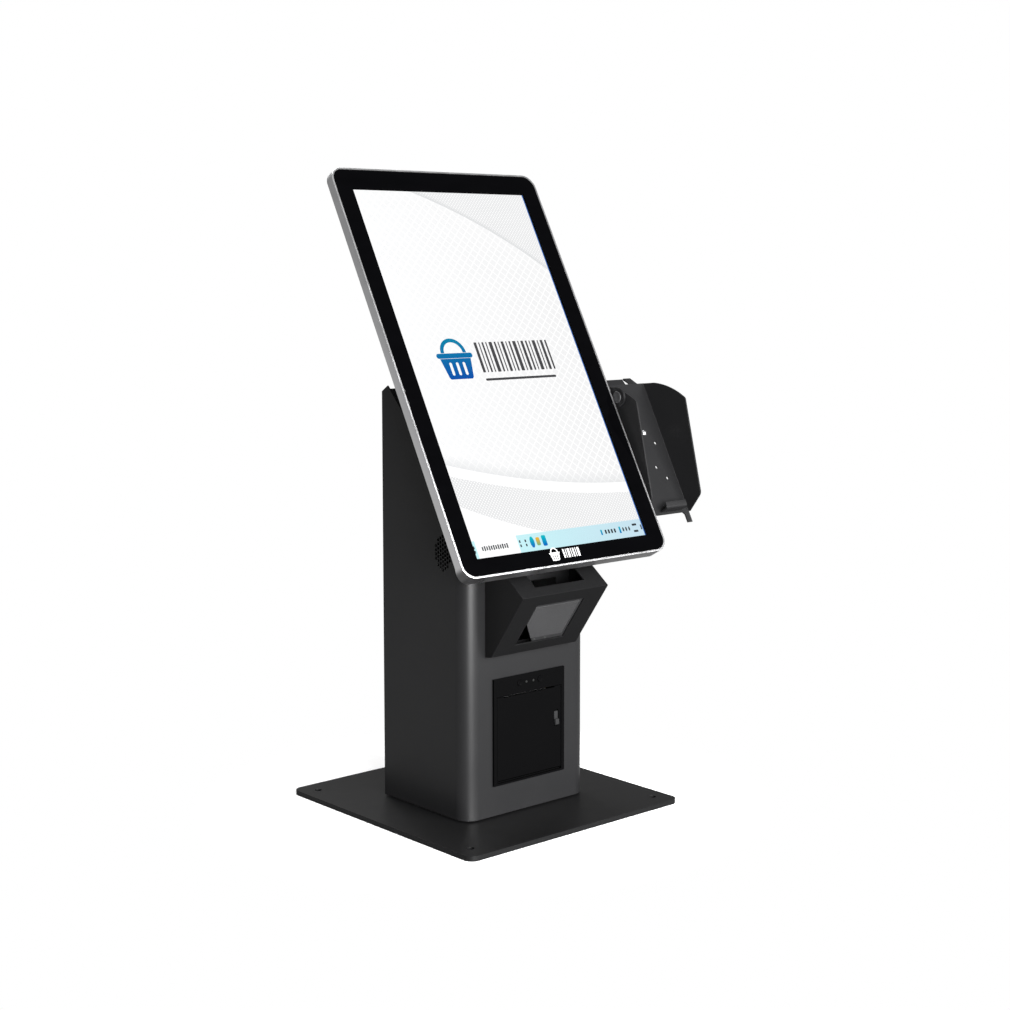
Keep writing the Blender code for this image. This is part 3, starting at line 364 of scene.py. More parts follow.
def printed_glass(name):
    """Glass with black print behind it; faint wiping marks in the gloss."""
    skin = Skin(name)
    wiped = skin.noise(22, 4, (1, 1, 3))
    return skin.set(base_color=skin.mix(wiped, (0.0004, 0.0004, 0.0005), (0.0008, 0.0008, 0.001)),
                    roughness=skin.spread(wiped, 0.05, 0.09), specular_ior_level=0.03)


def clear_glass(name):
    """The unprinted window of the cover glass: see-through, with a weak reflection."""
    skin = Skin(name)
    nodes, links = skin.tree.nodes, skin.tree.links
    clear = nodes.new("ShaderNodeBsdfTransparent")
    gloss = nodes.new("ShaderNodeBsdfGlossy")
    wiped = skin.noise(22, 4, (1, 1, 3))
    skin.feed(skin.spread(wiped, 0.03, 0.07), gloss.inputs["Roughness"])
    blend = nodes.new("ShaderNodeMixShader")
    skin.feed(skin.spread(wiped, 0.015, 0.025), blend.inputs[0])
    links.new(clear.outputs[0], blend.inputs[1])
    links.new(gloss.outputs[0], blend.inputs[2])
    links.new(blend.outputs[0], skin.output.inputs["Surface"])
    return skin.material


def smoked_pane(name):
    """The scanner's window: smoked, glossy, a little lighter towards one corner."""
    skin = Skin(name)
    haze = skin.noise(18, 2)
    return skin.set(base_color=skin.mix(haze, (0.022, 0.022, 0.0225), (0.032, 0.032, 0.033)),
                    roughness=skin.spread(haze, 0.16, 0.24))


def receipt_paper(name):
    skin = Skin(name)
    fibre = skin.noise(700, 4)
    turns = skin.noise(2500, 1, (1, 0.2, 0.2))
    return skin.set(base_color=skin.mix(fibre, (0.27, 0.27, 0.26), (0.33, 0.33, 0.32)),
                    roughness=skin.spread(fibre, 0.7, 0.85), normal=skin.bump(turns, 0.00004))


def circuit_board(name):
    """Green solder mask with lighter tracks."""
    skin = Skin(name)
    tracks = skin.math("GREATER_THAN", skin.noise(350, 0, (1, 0.2, 0.15)), 0.55)
    return skin.set(base_color=skin.mix(tracks, (0.008, 0.07, 0.03), (0.02, 0.15, 0.06)),
                    roughness=skin.spread(skin.noise(60), 0.3, 0.4),
                    normal=skin.bump(tracks, 0.00003))


def cut_brass(name):
    skin = Skin(name)
    lines = skin.noise(1600, 2, (1, 0.05, 0.05))
    return skin.set(base_color=skin.mix(skin.noise(40), (0.45, 0.31, 0.11), (0.62, 0.45, 0.19)),
                    roughness=skin.spread(lines, 0.24, 0.38), metallic=1.0,
                    normal=skin.bump(lines, 0.00002))


def lamp_lens(name, lift=1):
    """A small light's lens, switched off; lift makes it paler."""
    skin = Skin(name)
    haze = skin.noise(900, 2)
    dim, bright = (0.008 * lift, 0.009 * lift, 0.008 * lift), (0.014 * lift,) * 3
    return skin.set(base_color=skin.mix(haze, dim, bright),
                    roughness=skin.spread(haze, 0.3, 0.4), specular_ior_level=0.1)


def glowing(name, first, second, low, high):
    """Lit graphics whose colour runs from first to second between two heights."""
    skin = Skin(name)
    split = skin.tree.nodes.new("ShaderNodeSeparateXYZ")
    skin.feed(skin.position, split.inputs[0])
    span = skin.tree.nodes.new("ShaderNodeMapRange")
    skin.feed(split.outputs["Z"], span.inputs["Value"])
    span.inputs["From Min"].default_value = low
    span.inputs["From Max"].default_value = high
    colour = skin.mix(span.outputs[0], second, first)
    skin.feed(colour, skin.shader.inputs["Emission Color"])
    return skin.set(base_color=(0, 0, 0), roughness=0.5, specular_ior_level=0,
                    emission_strength=1.0)


def idle_screen(name):
    """A lit screen: pale lattice, two swept curves, dotted fields and a task bar."""
    skin = Skin(name)
    split = skin.tree.nodes.new("ShaderNodeSeparateXYZ")
    skin.feed(skin.position, split.inputs[0])
    x = skin.math("MULTIPLY", split.outputs["X"], 1000)
    z = skin.math("MULTIPLY", split.outputs["Z"], 1000)

    def distance(centre_x, centre_z):
        across = skin.math("SUBTRACT", x, centre_x)
        down = skin.math("SUBTRACT", z, centre_z)
        square = skin.math("ADD", skin.math("POWER", across, 2), skin.math("POWER", down, 2))
        return skin.math("SQRT", square)

    def diagonal(operation, pitch):
        return skin.math("FRACT", skin.math("DIVIDE", skin.math(operation, x, z), pitch))

    def over(value, limit):
        return skin.math("GREATER_THAN", value, limit)

    def ramp(value, low, high):
        node = skin.tree.nodes.new("ShaderNodeMapRange")
        skin.feed(value, node.inputs["Value"])
        node.inputs["From Min"].default_value = low
        node.inputs["From Max"].default_value = high
        return node.outputs[0]

    lattice = 12.7
    line_width = 0.13
    lines = skin.math("MAXIMUM", skin.math("LESS_THAN", diagonal("ADD", lattice), line_width),
                      skin.math("LESS_THAN", diagonal("SUBTRACT", lattice), line_width))
    dot_pitch = 4.5
    offsets = [skin.math("POWER", skin.math("SUBTRACT", diagonal(way, dot_pitch), 0.5), 2)
               for way in ("ADD", "SUBTRACT")]
    dots = skin.math("LESS_THAN", skin.math("ADD", *offsets), 0.075)
    shade = ramp(x, -WINDOW_HALF_X / MM, WINDOW_HALF_X / MM)
    field = skin.mix(shade, (0.93, 0.935, 0.94), (0.85, 0.85, 0.855))
    picture = skin.mix(lines, field, (1.0, 1.0, 1.0))
    dotted = skin.mix(dots, (0.78, 0.785, 0.79), (1.0, 1.0, 1.0))
    upper, sweep = distance(-269, -329.5), 610
    picture = skin.mix(skin.math("MULTIPLY", ramp(upper, sweep - 50, sweep), 0.35), picture,
                       (0.93, 0.93, 0.93))
    picture = skin.mix(over(upper, sweep), picture, dotted)
    crease = skin.math("MULTIPLY", over(upper, sweep - 0.5),
                       ramp(upper, sweep + 6, sweep - 0.5))
    picture = skin.mix(skin.math("MULTIPLY", crease, 0.8), picture, (0.66, 0.67, 0.68))
    lower, sweep = distance(173, 883), 1050
    stripe_end = sweep + 13
    picture = skin.mix(skin.math("MULTIPLY", ramp(lower, sweep - 15, sweep), 0.55), picture,
                       (0.70, 0.71, 0.72))
    picture = skin.mix(over(lower, sweep), picture, (1.0, 1.0, 1.0))
    picture = skin.mix(over(lower, stripe_end), picture, dotted)
    foot = skin.math("MULTIPLY", over(distance(175, 456), 700), over(lower, stripe_end))
    picture = skin.mix(foot, picture, (0.99, 0.99, 0.99))
    bar_top, search_left, search_right = -216, -127.5, -66
    bar = skin.mix(ramp(x, search_right, WINDOW_HALF_X / MM), (0.55, 0.86, 0.90),
                   (0.55, 0.72, 0.82))
    search = skin.math("MULTIPLY", over(x, search_left),
                       skin.math("LESS_THAN", x, search_right))
    bar = skin.mix(search, bar, (0.99, 0.99, 0.99))
    picture = skin.mix(skin.math("LESS_THAN", z, bar_top), picture, bar)
    left_line, right_line = -133.1, 133.0
    picture = skin.mix(skin.math("LESS_THAN", x, left_line), picture, (0.05, 0.50, 0.68))
    picture = skin.mix(over(x, right_line), picture, (0.05, 0.16, 0.50))
    skin.feed(picture, skin.shader.inputs["Emission Color"])
    return skin.set(base_color=(0, 0, 0), roughness=0.4, specular_ior_level=0,
                    emission_strength=1.1)


def make_skins():
    """One finished material for each slot in the record."""
    return {
        "powder_coat": powder_coat("satin_powder_coat", (0.0072, 0.0072, 0.0076), 0.36),
        "frame_alloy": anodised("anodised_alloy", (0.80, 0.80, 0.81), 0.3),
        "steel": brushed("zinc_plated_steel", (0.50, 0.50, 0.51)),
        "black_plastic": moulded("black_moulded_plastic", (0.0012, 0.0012, 0.0013)),
        "grey_plastic": moulded("grey_moulded_plastic", (0.016, 0.016, 0.0165)),
        "rubber": rubber("grommet_rubber"),
        "cover_glass": printed_glass("black_printed_glass"),
        "screen": idle_screen("lit_idle_screen"),
        "scan_glass": smoked_pane("smoked_scan_pane"),
        "paper": receipt_paper("thermal_paper"),
        "board": circuit_board("green_circuit_board"),
        "brass": cut_brass("turned_brass"),
        "led": lamp_lens("status_lens"),
    }


# ---------------------------------------------------------------- CAD nodes that stay

# Widths of rounded edges in millimetres, where the usual one doesn't suit
USUAL_EDGE = 0.4
EDGE_WIDTHS = {"cable_grommet": 0.8, "ready_led": 0.3, "paper_led": 0.3, "door_latch": 0.5,
               "drive_gear": 0.1, "platen_gear": 0.1, "switch_frame": 0.5,
               "power_rocker": 0.6, "scanner_hood": 0.7}
# Turned nodes, whose facets must not be taken for edges
TURNED_NODES = ("paper_roll", "roll_core", "platen_roller", "feed_motor")
DARK_NODES = ("printer_bucket", "speaker_left", "speaker_right", "scanner_module",
              "scanner_bracket")


def dress_node(node, skin):
    """Give a CAD node its material and small rounded edges."""
    item = frame["nodes"][node]
    item.data.materials.clear()
    item.data.materials.append(skin)
    normals = item.data.attributes.get("custom_normal")
    if normals is not None:
        item.data.attributes.remove(normals)
    weld = item.modifiers.new("joined_corners", "WELD")
    weld.merge_threshold = 1e-5
    flat = item.modifiers.new("whole_faces", "DECIMATE")
    flat.decimate_type = "DISSOLVE"
    flat.angle_limit = math.radians(0.5)
    if node in TURNED_NODES:
        soften(item, 0.3 * MM, 50, 2)
    else:
        soften(item, EDGE_WIDTHS.get(node, USUAL_EDGE) * MM, 33, 2)


def dress_nodes(skins):
    """Dress each CAD node by its slot, and a few in a look of their own; the hood's darker coat
    is painted shade.
    """
    own = dict.fromkeys(DARK_NODES, moulded("matt_black", (0.0012, 0.0012, 0.0013), 0.55))
    own["pivot_bolt"] = powder_coat("coated_fasteners", (0.022, 0.022, 0.023), 0.42)
    # Painted shade: the hood's coat is a darker, less glossy copy of the column's paint, standing
    # in for the shade under the display.
    own["scanner_hood"] = powder_coat("hood_coat_painted_shade", (0.0048, 0.0048, 0.005), 0.4, 0.1)
    for part in frame["record"]["subparts"]:
        node, slot = part["node"], part["material_slot"]
        dress_node(node, own.get(node, skins[slot]))


# ---------------------------------------------------------------- base and column

def make_base_plate():
    """A flat plate with four bolt holes and a hole for the cable grommet."""
    low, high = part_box("base_plate")
    bolt_x, bolt_y, bolt_hole, cable_hole = 145 * MM, 151 * MM, 4.5 * MM, 20 * MM
    loops = [rounded(low.x, low.y, high.x, high.y, 12 * MM, 12)]
    loops += [circle((sx * bolt_x, sy * bolt_y), bolt_hole) for sx in (-1, 1)
              for sy in (-1, 1)]
    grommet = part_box("cable_grommet")
    centre = (grommet[0] + grommet[1]) / 2
    loops.append(circle((centre.x, centre.y), cable_hole, 40))
    coat = powder_coat("base_coat", (0.005, 0.005, 0.0052), 0.4, 0.14)
    piece("base_sheet", slab(loops, low.z, high.z, "Z"), coat, "kiosk",
          ["base_plate"], edge=0.7 * MM)


# Top edge of the column's side panels, as (y, z) in millimetres from the front to the back
SIDE_LINE = ((-83, 340), (-55, 396), (65.5, 516.5), (77, 509))


def side_top(y):
    """Height of the column's side panels at a depth."""
    for (y0, z0), (y1, z1) in zip(SIDE_LINE, SIDE_LINE[1:]):
        if y <= y1 * MM + 1e-9:
            share = (y - y0 * MM) / ((y1 - y0) * MM)
            return (z0 + (z1 - z0) * share) * MM
    return SIDE_LINE[-1][1] * MM


def grille(centre):
    """Staggered columns of round holes inside a tall oval."""
    pitch, hole, half_wide, half_tall = 5 * MM, 1.9 * MM, 16 * MM, 21 * MM
    holes = []
    for column in range(-3, 4):
        for row in range(-5, 6):
            a = column * pitch * math.sin(math.radians(60))
            b = (row + (column % 2) / 2) * pitch
            if (a / half_wide) ** 2 + (b / half_tall) ** 2 <= 1:
                holes.append(circle((centre[0] + a, centre[1] + b), hole, 14))
    return holes


def make_column(skins):
    """One bent sheet: front, two round corners and two flanks."""
    low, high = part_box("column_shell")
    radius, steps = 20 * MM, 14
    half, front, rear, foot = high.x, low.y, high.y, low.z
    flat, quarter = half - radius, radius * math.pi / 2
    reach = flat + quarter + (rear - front - radius)
    edge = [(reach, foot), (reach, side_top(rear))]
    for y, z in reversed(SIDE_LINE[1:3]):
        edge.append((flat + quarter + (y * MM - front - radius), z * MM))
    for i in range(steps, -1, -1):
        turn = math.pi / 2 * i / steps
        y = front + radius * (1 - math.cos(turn))
        edge.append((flat + radius * turn, side_top(y)))
    outline = edge + [(-s, z) for s, z in reversed(edge)]
    bezel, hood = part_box("printer_bezel"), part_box("scanner_hood")
    windows = [rounded(bezel[0].x + 2.5 * MM, bezel[0].z + 1.5 * MM, bezel[1].x - 2.5 * MM,
                       bezel[1].z - 2.3 * MM, MM, 3),
               rounded(-45 * MM, hood[0].z + 13 * MM, 45 * MM, hood[0].z + 83 * MM, MM, 3)]
    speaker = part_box("speaker_left")
    middle = (speaker[0] + speaker[1]) / 2
    along = flat + quarter + (middle.y - front - radius)
    grille_right = grille((along, middle.z))
    grille_left = [[(-s, z) for s, z in reversed(hole)] for hole in grille_right]
    sheet = bend(slab([outline, *windows, *grille_right, *grille_left], 0, SHEET, "Y"),
                 flat, radius, front, 1, steps)
    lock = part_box("lock_plug")
    wall, middle_z = low.x + SHEET - 0.2 * MM, (lock[0].z + lock[1].z) / 2
    half_tall = 14 * MM
    angle = scaled([(0, 65), (0, 50), (2.5, 50), (2.5, 63.5), (10, 63.5), (10, 65)], MM,
                   (wall, 0))
    strike = slab([angle], middle_z - half_tall, middle_z + half_tall, "Z")
    piece("column_sheet", merged(sheet, strike), skins["powder_coat"], "kiosk",
          ["column_shell"], edge=0.35 * MM, angle=50)


# ---------------------------------------------------------------- display

def make_display_frame(skins, place):
    """A rim with a rounded lip and flat walls, deeper round its lower corners."""
    low, high = local_box("display_frame", place)
    glass_low, glass_high = local_box("cover_glass", place)
    gap, lip = 0.25 * MM, 0.6 * MM
    rim = high.x - glass_high.x
    depth = 12 * MM
    chin = high.y - depth
    reach = GLASS_CORNER + rim
    profile = [(gap, low.y + 0.6 * MM, 0), (gap + 0.3 * MM, low.y, 0)]
    profile += [(rim - lip + a, low.y + lip - b, 0)
                for a, b in arc((0, 0), lip, 90, 0, 8)]
    profile += [(rim, depth - 0.5 * MM, 1), (rim - 0.5 * MM, depth, 1), (gap, depth, 1)]
    rings = []
    for grow, y, back in profile:
        ring = rounded(glass_low.x - grow, glass_low.z - grow, glass_high.x + grow,
                       glass_high.z + grow, GLASS_CORNER + grow, 20)
        deeper = [min(max((glass_low.z + GLASS_CORNER - z) / reach, 0), 1)
                  for x, z in ring]
        rings.append([(x, y + back * chin * share, z)
                      for (x, z), share in zip(ring, deeper)])
    piece("display_rim", loft(rings), skins["frame_alloy"], "kiosk",
          ["display_frame"], place, edge=0, angle=35)


def make_cover_glass(skins, place):
    """One slab of glass: black print round a clear window."""
    low, high = local_box("cover_glass", place)
    bm = slab([rounded(low.x, low.z, high.x, high.z, GLASS_CORNER, 16)], low.y, high.y, "Y")
    cuts = (((-WINDOW_HALF_X, 0, 0), (1, 0, 0)), ((WINDOW_HALF_X, 0, 0), (1, 0, 0)),
            ((0, 0, -WINDOW_HALF_Z), (0, 0, 1)), ((0, 0, WINDOW_HALF_Z), (0, 0, 1)))
    for point, normal in cuts:
        bmesh.ops.bisect_plane(bm, geom=bm.verts[:] + bm.edges[:] + bm.faces[:], dist=1e-7,
                               plane_co=point, plane_no=normal)
    for face in bm.faces:
        middle = face.calc_center_median()
        face.material_index = int(abs(middle.x) < WINDOW_HALF_X
                                  and abs(middle.z) < WINDOW_HALF_Z)
    glass = piece("front_glass", bm, skins["cover_glass"], "kiosk",
                  ["cover_glass"], place, edge=0.5 * MM)
    glass.data.materials.append(clear_glass("clear_window_glass"))


def basket_loops(scale, centre):
    """A plain shopping basket: body with slots, rim and handle."""
    body = [(-23, 3), (-18, -22), (-16, -24), (16, -24), (18, -22), (23, 3)]
    slots = [rounded(x - 2, -19, x + 2, -2, 1.9, 4) for x in (-10, 0, 10)]
    rim = rounded(-27, 3.5, 27, 10, 3, 5)
    handle = arc((0, 10.5), 19, 0, 180, 20) + arc((0, 10.5), 14, 180, 0, 20)
    return [[scaled(loop, scale, centre) for loop in loops]
            for loops in ([body, *slots], [rim], [handle])]


def bars_loops(scale, centre):
    """Plain upright bars of several widths, and a thin rule under them."""
    widths = (4, 1.6, 2.6, 1.6, 5, 2.6, 1.6, 4, 1.6, 2.6, 5, 1.6, 4, 2.6, 1.6, 5, 1.6, 4, 2.6)
    left, spacing = -56, 3.35
    loops = []
    for width in widths:
        loops.append([rounded(left, -20, left + width, 20, 0.6, 2)])
        left += width + spacing
    loops.append([rounded(-56, -31, 56, -28, 1.4, 3)])
    return [[scaled(loop, scale, centre) for loop in loops_] for loops_ in loops]


def graphics(shapes, low, high):
    return merged(*[slab(loops, low, high, "Y") for loops in shapes])


def make_screen(skins, place):
    """The lit panel, with its graphics as thin shapes just in front of it."""
    low, high = local_box("lcd_panel", place)
    panel = slab([[(low.x, low.z), (high.x, low.z), (high.x, high.z), (low.x, high.z)]],
                 low.y, high.y, "Y")
    for face in panel.faces:
        face.material_index = int(face.normal.y > -0.5)
    lit = piece("screen_panel", panel, skins["screen"], "kiosk", ["lcd_panel"], place)
    lit.data.materials.append(brushed("panel_back_sheet", (0.05, 0.05, 0.052), 0.5))
    front, back = low.y - 0.2 * MM, low.y - 0.05 * MM
    blue = glowing("lit_blue", (0.0, 0.24, 0.42), (0.0, 0.06, 0.42), -22 * MM, 38 * MM)
    grey = glowing("lit_grey", (0.075, 0.075, 0.08), (0.055, 0.055, 0.06), -30 * MM, 40 * MM)
    mark = graphics(basket_loops(MM, (-65 * MM, 8 * MM)), front, back)
    piece("screen_basket", mark, blue, "kiosk", place=place, edge=0)
    bars = graphics(bars_loops(MM, (26 * MM, 11 * MM)), front, back)
    piece("screen_bars", bars, grey, "kiosk", place=place, edge=0)
    make_task_icons(place, front, back)
    make_border_mark(place)


def make_task_icons(place, front, back):
    """Small plain icons along the task bar."""
    height = -226.5 * MM
    dark = glowing("lit_dark", (0.06, 0.07, 0.08), (0.03, 0.035, 0.04), -1, 1)
    sky = glowing("lit_sky", (0.0, 0.55, 0.60), (0.0, 0.12, 0.55), -233 * MM, -220 * MM)
    amber = glowing("lit_amber", (0.95, 0.48, 0.02), (0.20, 0.45, 0.20), -231 * MM,
                    -222 * MM)
    shapes = {"dark": [], "sky": [], "amber": []}

    def oval(colour, x, half_wide, half_tall, lift=0.0):
        points = [(x * MM + math.cos(t) * half_wide * MM,
                   height + (lift + math.sin(t) * half_tall) * MM)
                  for t in (math.tau * i / 24 for i in range(24))]
        shapes[colour].append([points])

    def panel(colour, x, half_wide, half_tall, lift=0.0):
        middle = height + lift * MM
        shapes[colour].append([rounded((x - half_wide) * MM, middle - half_tall * MM,
                                       (x + half_wide) * MM, middle + half_tall * MM,
                                       min(half_wide, half_tall) * 0.5 * MM, 3)])

    for lift in (-2.6, 2.6):
        oval("dark", -131, 1.1, 2.0, lift)
        panel("dark", -63, 1.0, 1.6, lift)
        panel("dark", -54.5, 1.0, 1.6, lift)
    oval("sky", -45, 3.2, 7)
    panel("amber", -36, 2.8, 5)
    panel("sky", -26.5, 3.2, 6.6)
    for step in range(12):
        panel("dark", -119 + 3.3 * step, 0.9, 2.4 + 0.6 * (step % 2))
    for x in (72, 77, 82, 87):
        panel("dark", x, 1.3, 2.6)
    panel("sky", 65, 1.2, 3.4)
    panel("sky", 95.5, 1.4, 4.2)
    for x in (101, 106, 111):
        oval("dark", x, 1.2, 2.8)
    for lift in (-4.2, 4.2):
        panel("dark", 121, 3.6, 1.3, lift)
    panel("dark", 131.2, 0.9, 3.2)
    for word, skin in (("dark", dark), ("sky", sky), ("amber", amber)):
        piece(f"task_icons_{word}", graphics(shapes[word], front, back), skin,
              "kiosk", place=place, edge=0)


def make_border_mark(place):
    """A small plain mark printed in white on the glass under the screen."""
    white = Skin("white_print")
    grain = white.noise(800, 2)
    skin = white.set(base_color=white.mix(grain, (0.26, 0.26, 0.26), (0.3, 0.3, 0.3)),
                     roughness=white.spread(grain, 0.3, 0.4))
    shapes = basket_loops(0.30 * MM, (-21 * MM, -246.5 * MM))
    left, low, high, spacing = -8, -252, -241, 1.7
    for width in (2.4, 1.3, 3.4, 1.3, 2.4, 1.3, 3.4):
        bar = rounded(left, low, left + width, high, 0.3, 2)
        shapes.append([scaled(bar, MM)])
        left += width + spacing
    piece("border_mark", graphics(shapes, -0.06 * MM, -0.01 * MM), skin, "kiosk",
          place=place, edge=0)


# ---------------------------------------------------------------- scanner and printer

def make_scanner_rim(skins):
    """A thin frame round the scan pane, with two small lamps under it."""
    place = Matrix.Translation((0, *HOOD_LIP)) @ Matrix.Rotation(HOOD_FACE_TILT, 4, "X")
    low, high = local_box("scanner_module", place)
    pane_low, pane_high = local_box("scanner_window", place)
    front = low.y
    side_z, low_x = 48.9 * MM, -12.6 * MM
    edge = 0.5 * MM
    outline = [(low_x + edge, low.z + edge), (high.x - edge, low.z + edge),
               (high.x - edge, high.z - edge), (low.x + edge, high.z - edge),
               (low.x + edge, side_z + edge)]
    slope = (side_z - low.z) / (low.x - low_x)
    gap = 0.25 * MM
    bottom = pane_low.z - gap
    hole = [(low_x + (bottom - low.z) / slope + gap * 2, bottom), (pane_high.x + gap, bottom),
            (pane_high.x + gap, pane_high.z + gap), (pane_low.x - gap * 0.4, pane_high.z + gap),
            (pane_low.x - gap * 0.4, side_z + gap)]
    rim = slab([outline, hole], front - 0.9 * MM, front - 0.02 * MM, "Y")
    piece("scanner_rim", rim, skins["grey_plastic"], "kiosk", place=place,
          edge=0.25 * MM)
    for number, x in ((1, -9.5 * MM), (2, 7 * MM)):
        dome = [(0, front - 1.7 * MM), (0.9 * MM, front - 1.5 * MM), (1.5 * MM, front - 0.8 * MM),
                (1.5 * MM, front - 0.1 * MM), (0, front - 0.1 * MM)]
        lamp = lathe(dome, "Y", (x, (low.z + pane_low.z) / 2), 20)
        piece(f"scan_lamp_{number}", lamp, lamp_lens(f"scan_lens_{number}", 2), "kiosk",
              place=place, edge=0)


def make_keys(skins):
    """The printer's two keys: round, with a dished top."""
    for word in ("power", "feed"):
        low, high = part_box(word + "_button")
        radius = (high.x - low.x) / 2 - MM
        front, back = low.y, high.y
        profile = [(0, front + 0.45 * MM)]
        profile += [(radius * 0.8 * share, front + 0.45 * MM * (1 - share ** 2))
                    for share in (0.25, 0.5, 0.75, 1)]
        profile += [(radius - 0.2 * MM, front + 0.12 * MM), (radius, front + 0.5 * MM),
                    (radius, back - 1.2 * MM), (radius + MM, back - 1.2 * MM),
                    (radius + MM, back), (0, back)]
        centre = ((low.x + high.x) / 2, (low.z + high.z) / 2)
        piece(word + "_key", lathe(profile, "Y", centre), skins["black_plastic"],
              word + "_button", [word + "_button"], edge=0, angle=50)


def socket_screw(radius, key, low, high, axis, centre):
    """A round head with a hexagonal recess that opens towards high."""
    recess = arc(centre, key, 0, 300, 5)
    floor = low + (high - low) * 0.35
    lip = slab([circle(centre, radius, 32), recess], floor, high, axis)
    return merged(lip, slab([circle(centre, radius * 0.96, 32)], low, floor, axis))


def make_screws(skins):
    """The screws that can be seen, with their recesses."""
    for number in (1, 2):
        low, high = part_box(f"arm_screw_{number}")
        centre = ((low.y + high.y) / 2, (low.z + high.z) / 2)
        head = socket_screw((high.y - low.y) / 2, 1.8 * MM, low.x, high.x, "X", centre)
        piece(f"arm_screw_head_{number}", head, skins["steel"], "kiosk",
              [f"arm_screw_{number}"], edge=0.3 * MM)
    place = tipped(CRADLE_TOP, -CRADLE_TILT)
    low, high = local_box("terminal_screw", place)
    centre = ((low.x + high.x) / 2, (low.z + high.z) / 2)
    radius = (high.x - low.x) / 2
    profile = [(radius * share, low.y + 0.25 * MM + 1.9 * MM * share ** 3)
               for share in (0.3, 0.5, 0.7, 0.85, 1)]
    profile = [(0, low.y + 0.9 * MM), (radius * 0.22, low.y + 0.9 * MM)] + profile
    profile += [(radius, low.y + 2.3 * MM), (1.8 * MM, low.y + 2.3 * MM), (1.8 * MM, high.y),
                (0, high.y)]
    piece("terminal_screw_head", lathe(profile, "Y", centre, 28), skins["steel"],
          "terminal_cradle", ["terminal_screw"], place, edge=0, angle=40)


# ---------------------------------------------------------------- back

def make_housing(skins, place):
    """The display's back: a plate inside the rim and a box with rows of vents."""
    low, high = local_box("display_housing", place)
    wall = SHEET
    plate_back = low.y + wall
    half, top, bottom = 118 * MM, 222 * MM, -222 * MM
    plate = slab([rounded(low.x, low.z, high.x, high.z, 15 * MM, 10),
                  rounded(-half + wall, bottom + wall, half - wall, top - wall, 8 * MM, 6)],
                 low.y, plate_back, "Y")
    outer = rounded(-half, bottom, half, top, 10 * MM, 8)
    inner = rounded(-half + wall, bottom + wall, half - wall, top - wall, 8 * MM, 8)
    floor = high.y - wall
    walls = slab([outer, inner], plate_back - 0.2 * MM, floor + 0.2 * MM, "Y")
    vent_half_wide, vent_half_tall = 4 * MM, 1.2 * MM
    holes = []
    for row in range(5):
        for column in range(-8, 9):
            x, lift = column * 12 * MM, row * 7 * MM
            for z in (150 * MM + lift, -178 * MM + lift):
                holes.append(rounded(x - vent_half_wide, z - vent_half_tall,
                                     x + vent_half_wide, z + vent_half_tall, 1.1 * MM, 3))
    back = slab([outer, *holes], floor, high.y, "Y")
    piece("housing_shell", merged(plate, walls, back), skins["powder_coat"],
          "kiosk", ["display_housing"], place, edge=0.45 * MM, angle=50)
    for number, (x, z) in enumerate(((-105, 205), (105, 205), (-105, -205), (105, -205)), 1):
        head = socket_screw(2.8 * MM, 1.2 * MM, high.y, high.y + 1.2 * MM, "Y",
                            (x * MM, z * MM))
        piece(f"housing_screw_{number}", head, skins["steel"], "kiosk", place=place,
              edge=0.2 * MM)


def make_socket_pins(skins):
    """The inlet's three blades and the network socket's row of contacts."""
    low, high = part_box("power_inlet")
    x, z = (low.x + high.x) / 2, (low.z + high.z) / 2
    blade = scaled(rounded(-0.8, -1.8, 0.8, 1.8, 0.5, 3), MM)
    blades = [slab([scaled(blade, 1, (x + a * MM, z + b * MM))], low.y + 5 * MM,
                   high.y - 7 * MM, "Y") for a, b in ((-6, -1), (0, 1.5), (6, -1))]
    piece("inlet_blades", merged(*blades), skins["brass"], "kiosk", edge=0.2 * MM)
    low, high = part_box("network_socket")
    x, top, pitch, count = (low.x + high.x) / 2, high.z - 2.4 * MM, 1.02 * MM, 8
    contact = scaled(rounded(-0.25, -1.4, 0.25, 0, 0.1, 2), MM)
    contacts = [slab([scaled(contact, 1, (x + (i - (count - 1) / 2) * pitch, top))],
                     low.y + 5 * MM, high.y - 2 * MM, "Y") for i in range(count)]
    piece("network_contacts", merged(*contacts), skins["brass"], "kiosk", edge=0)


# ---------------------------------------------------------------- cradle

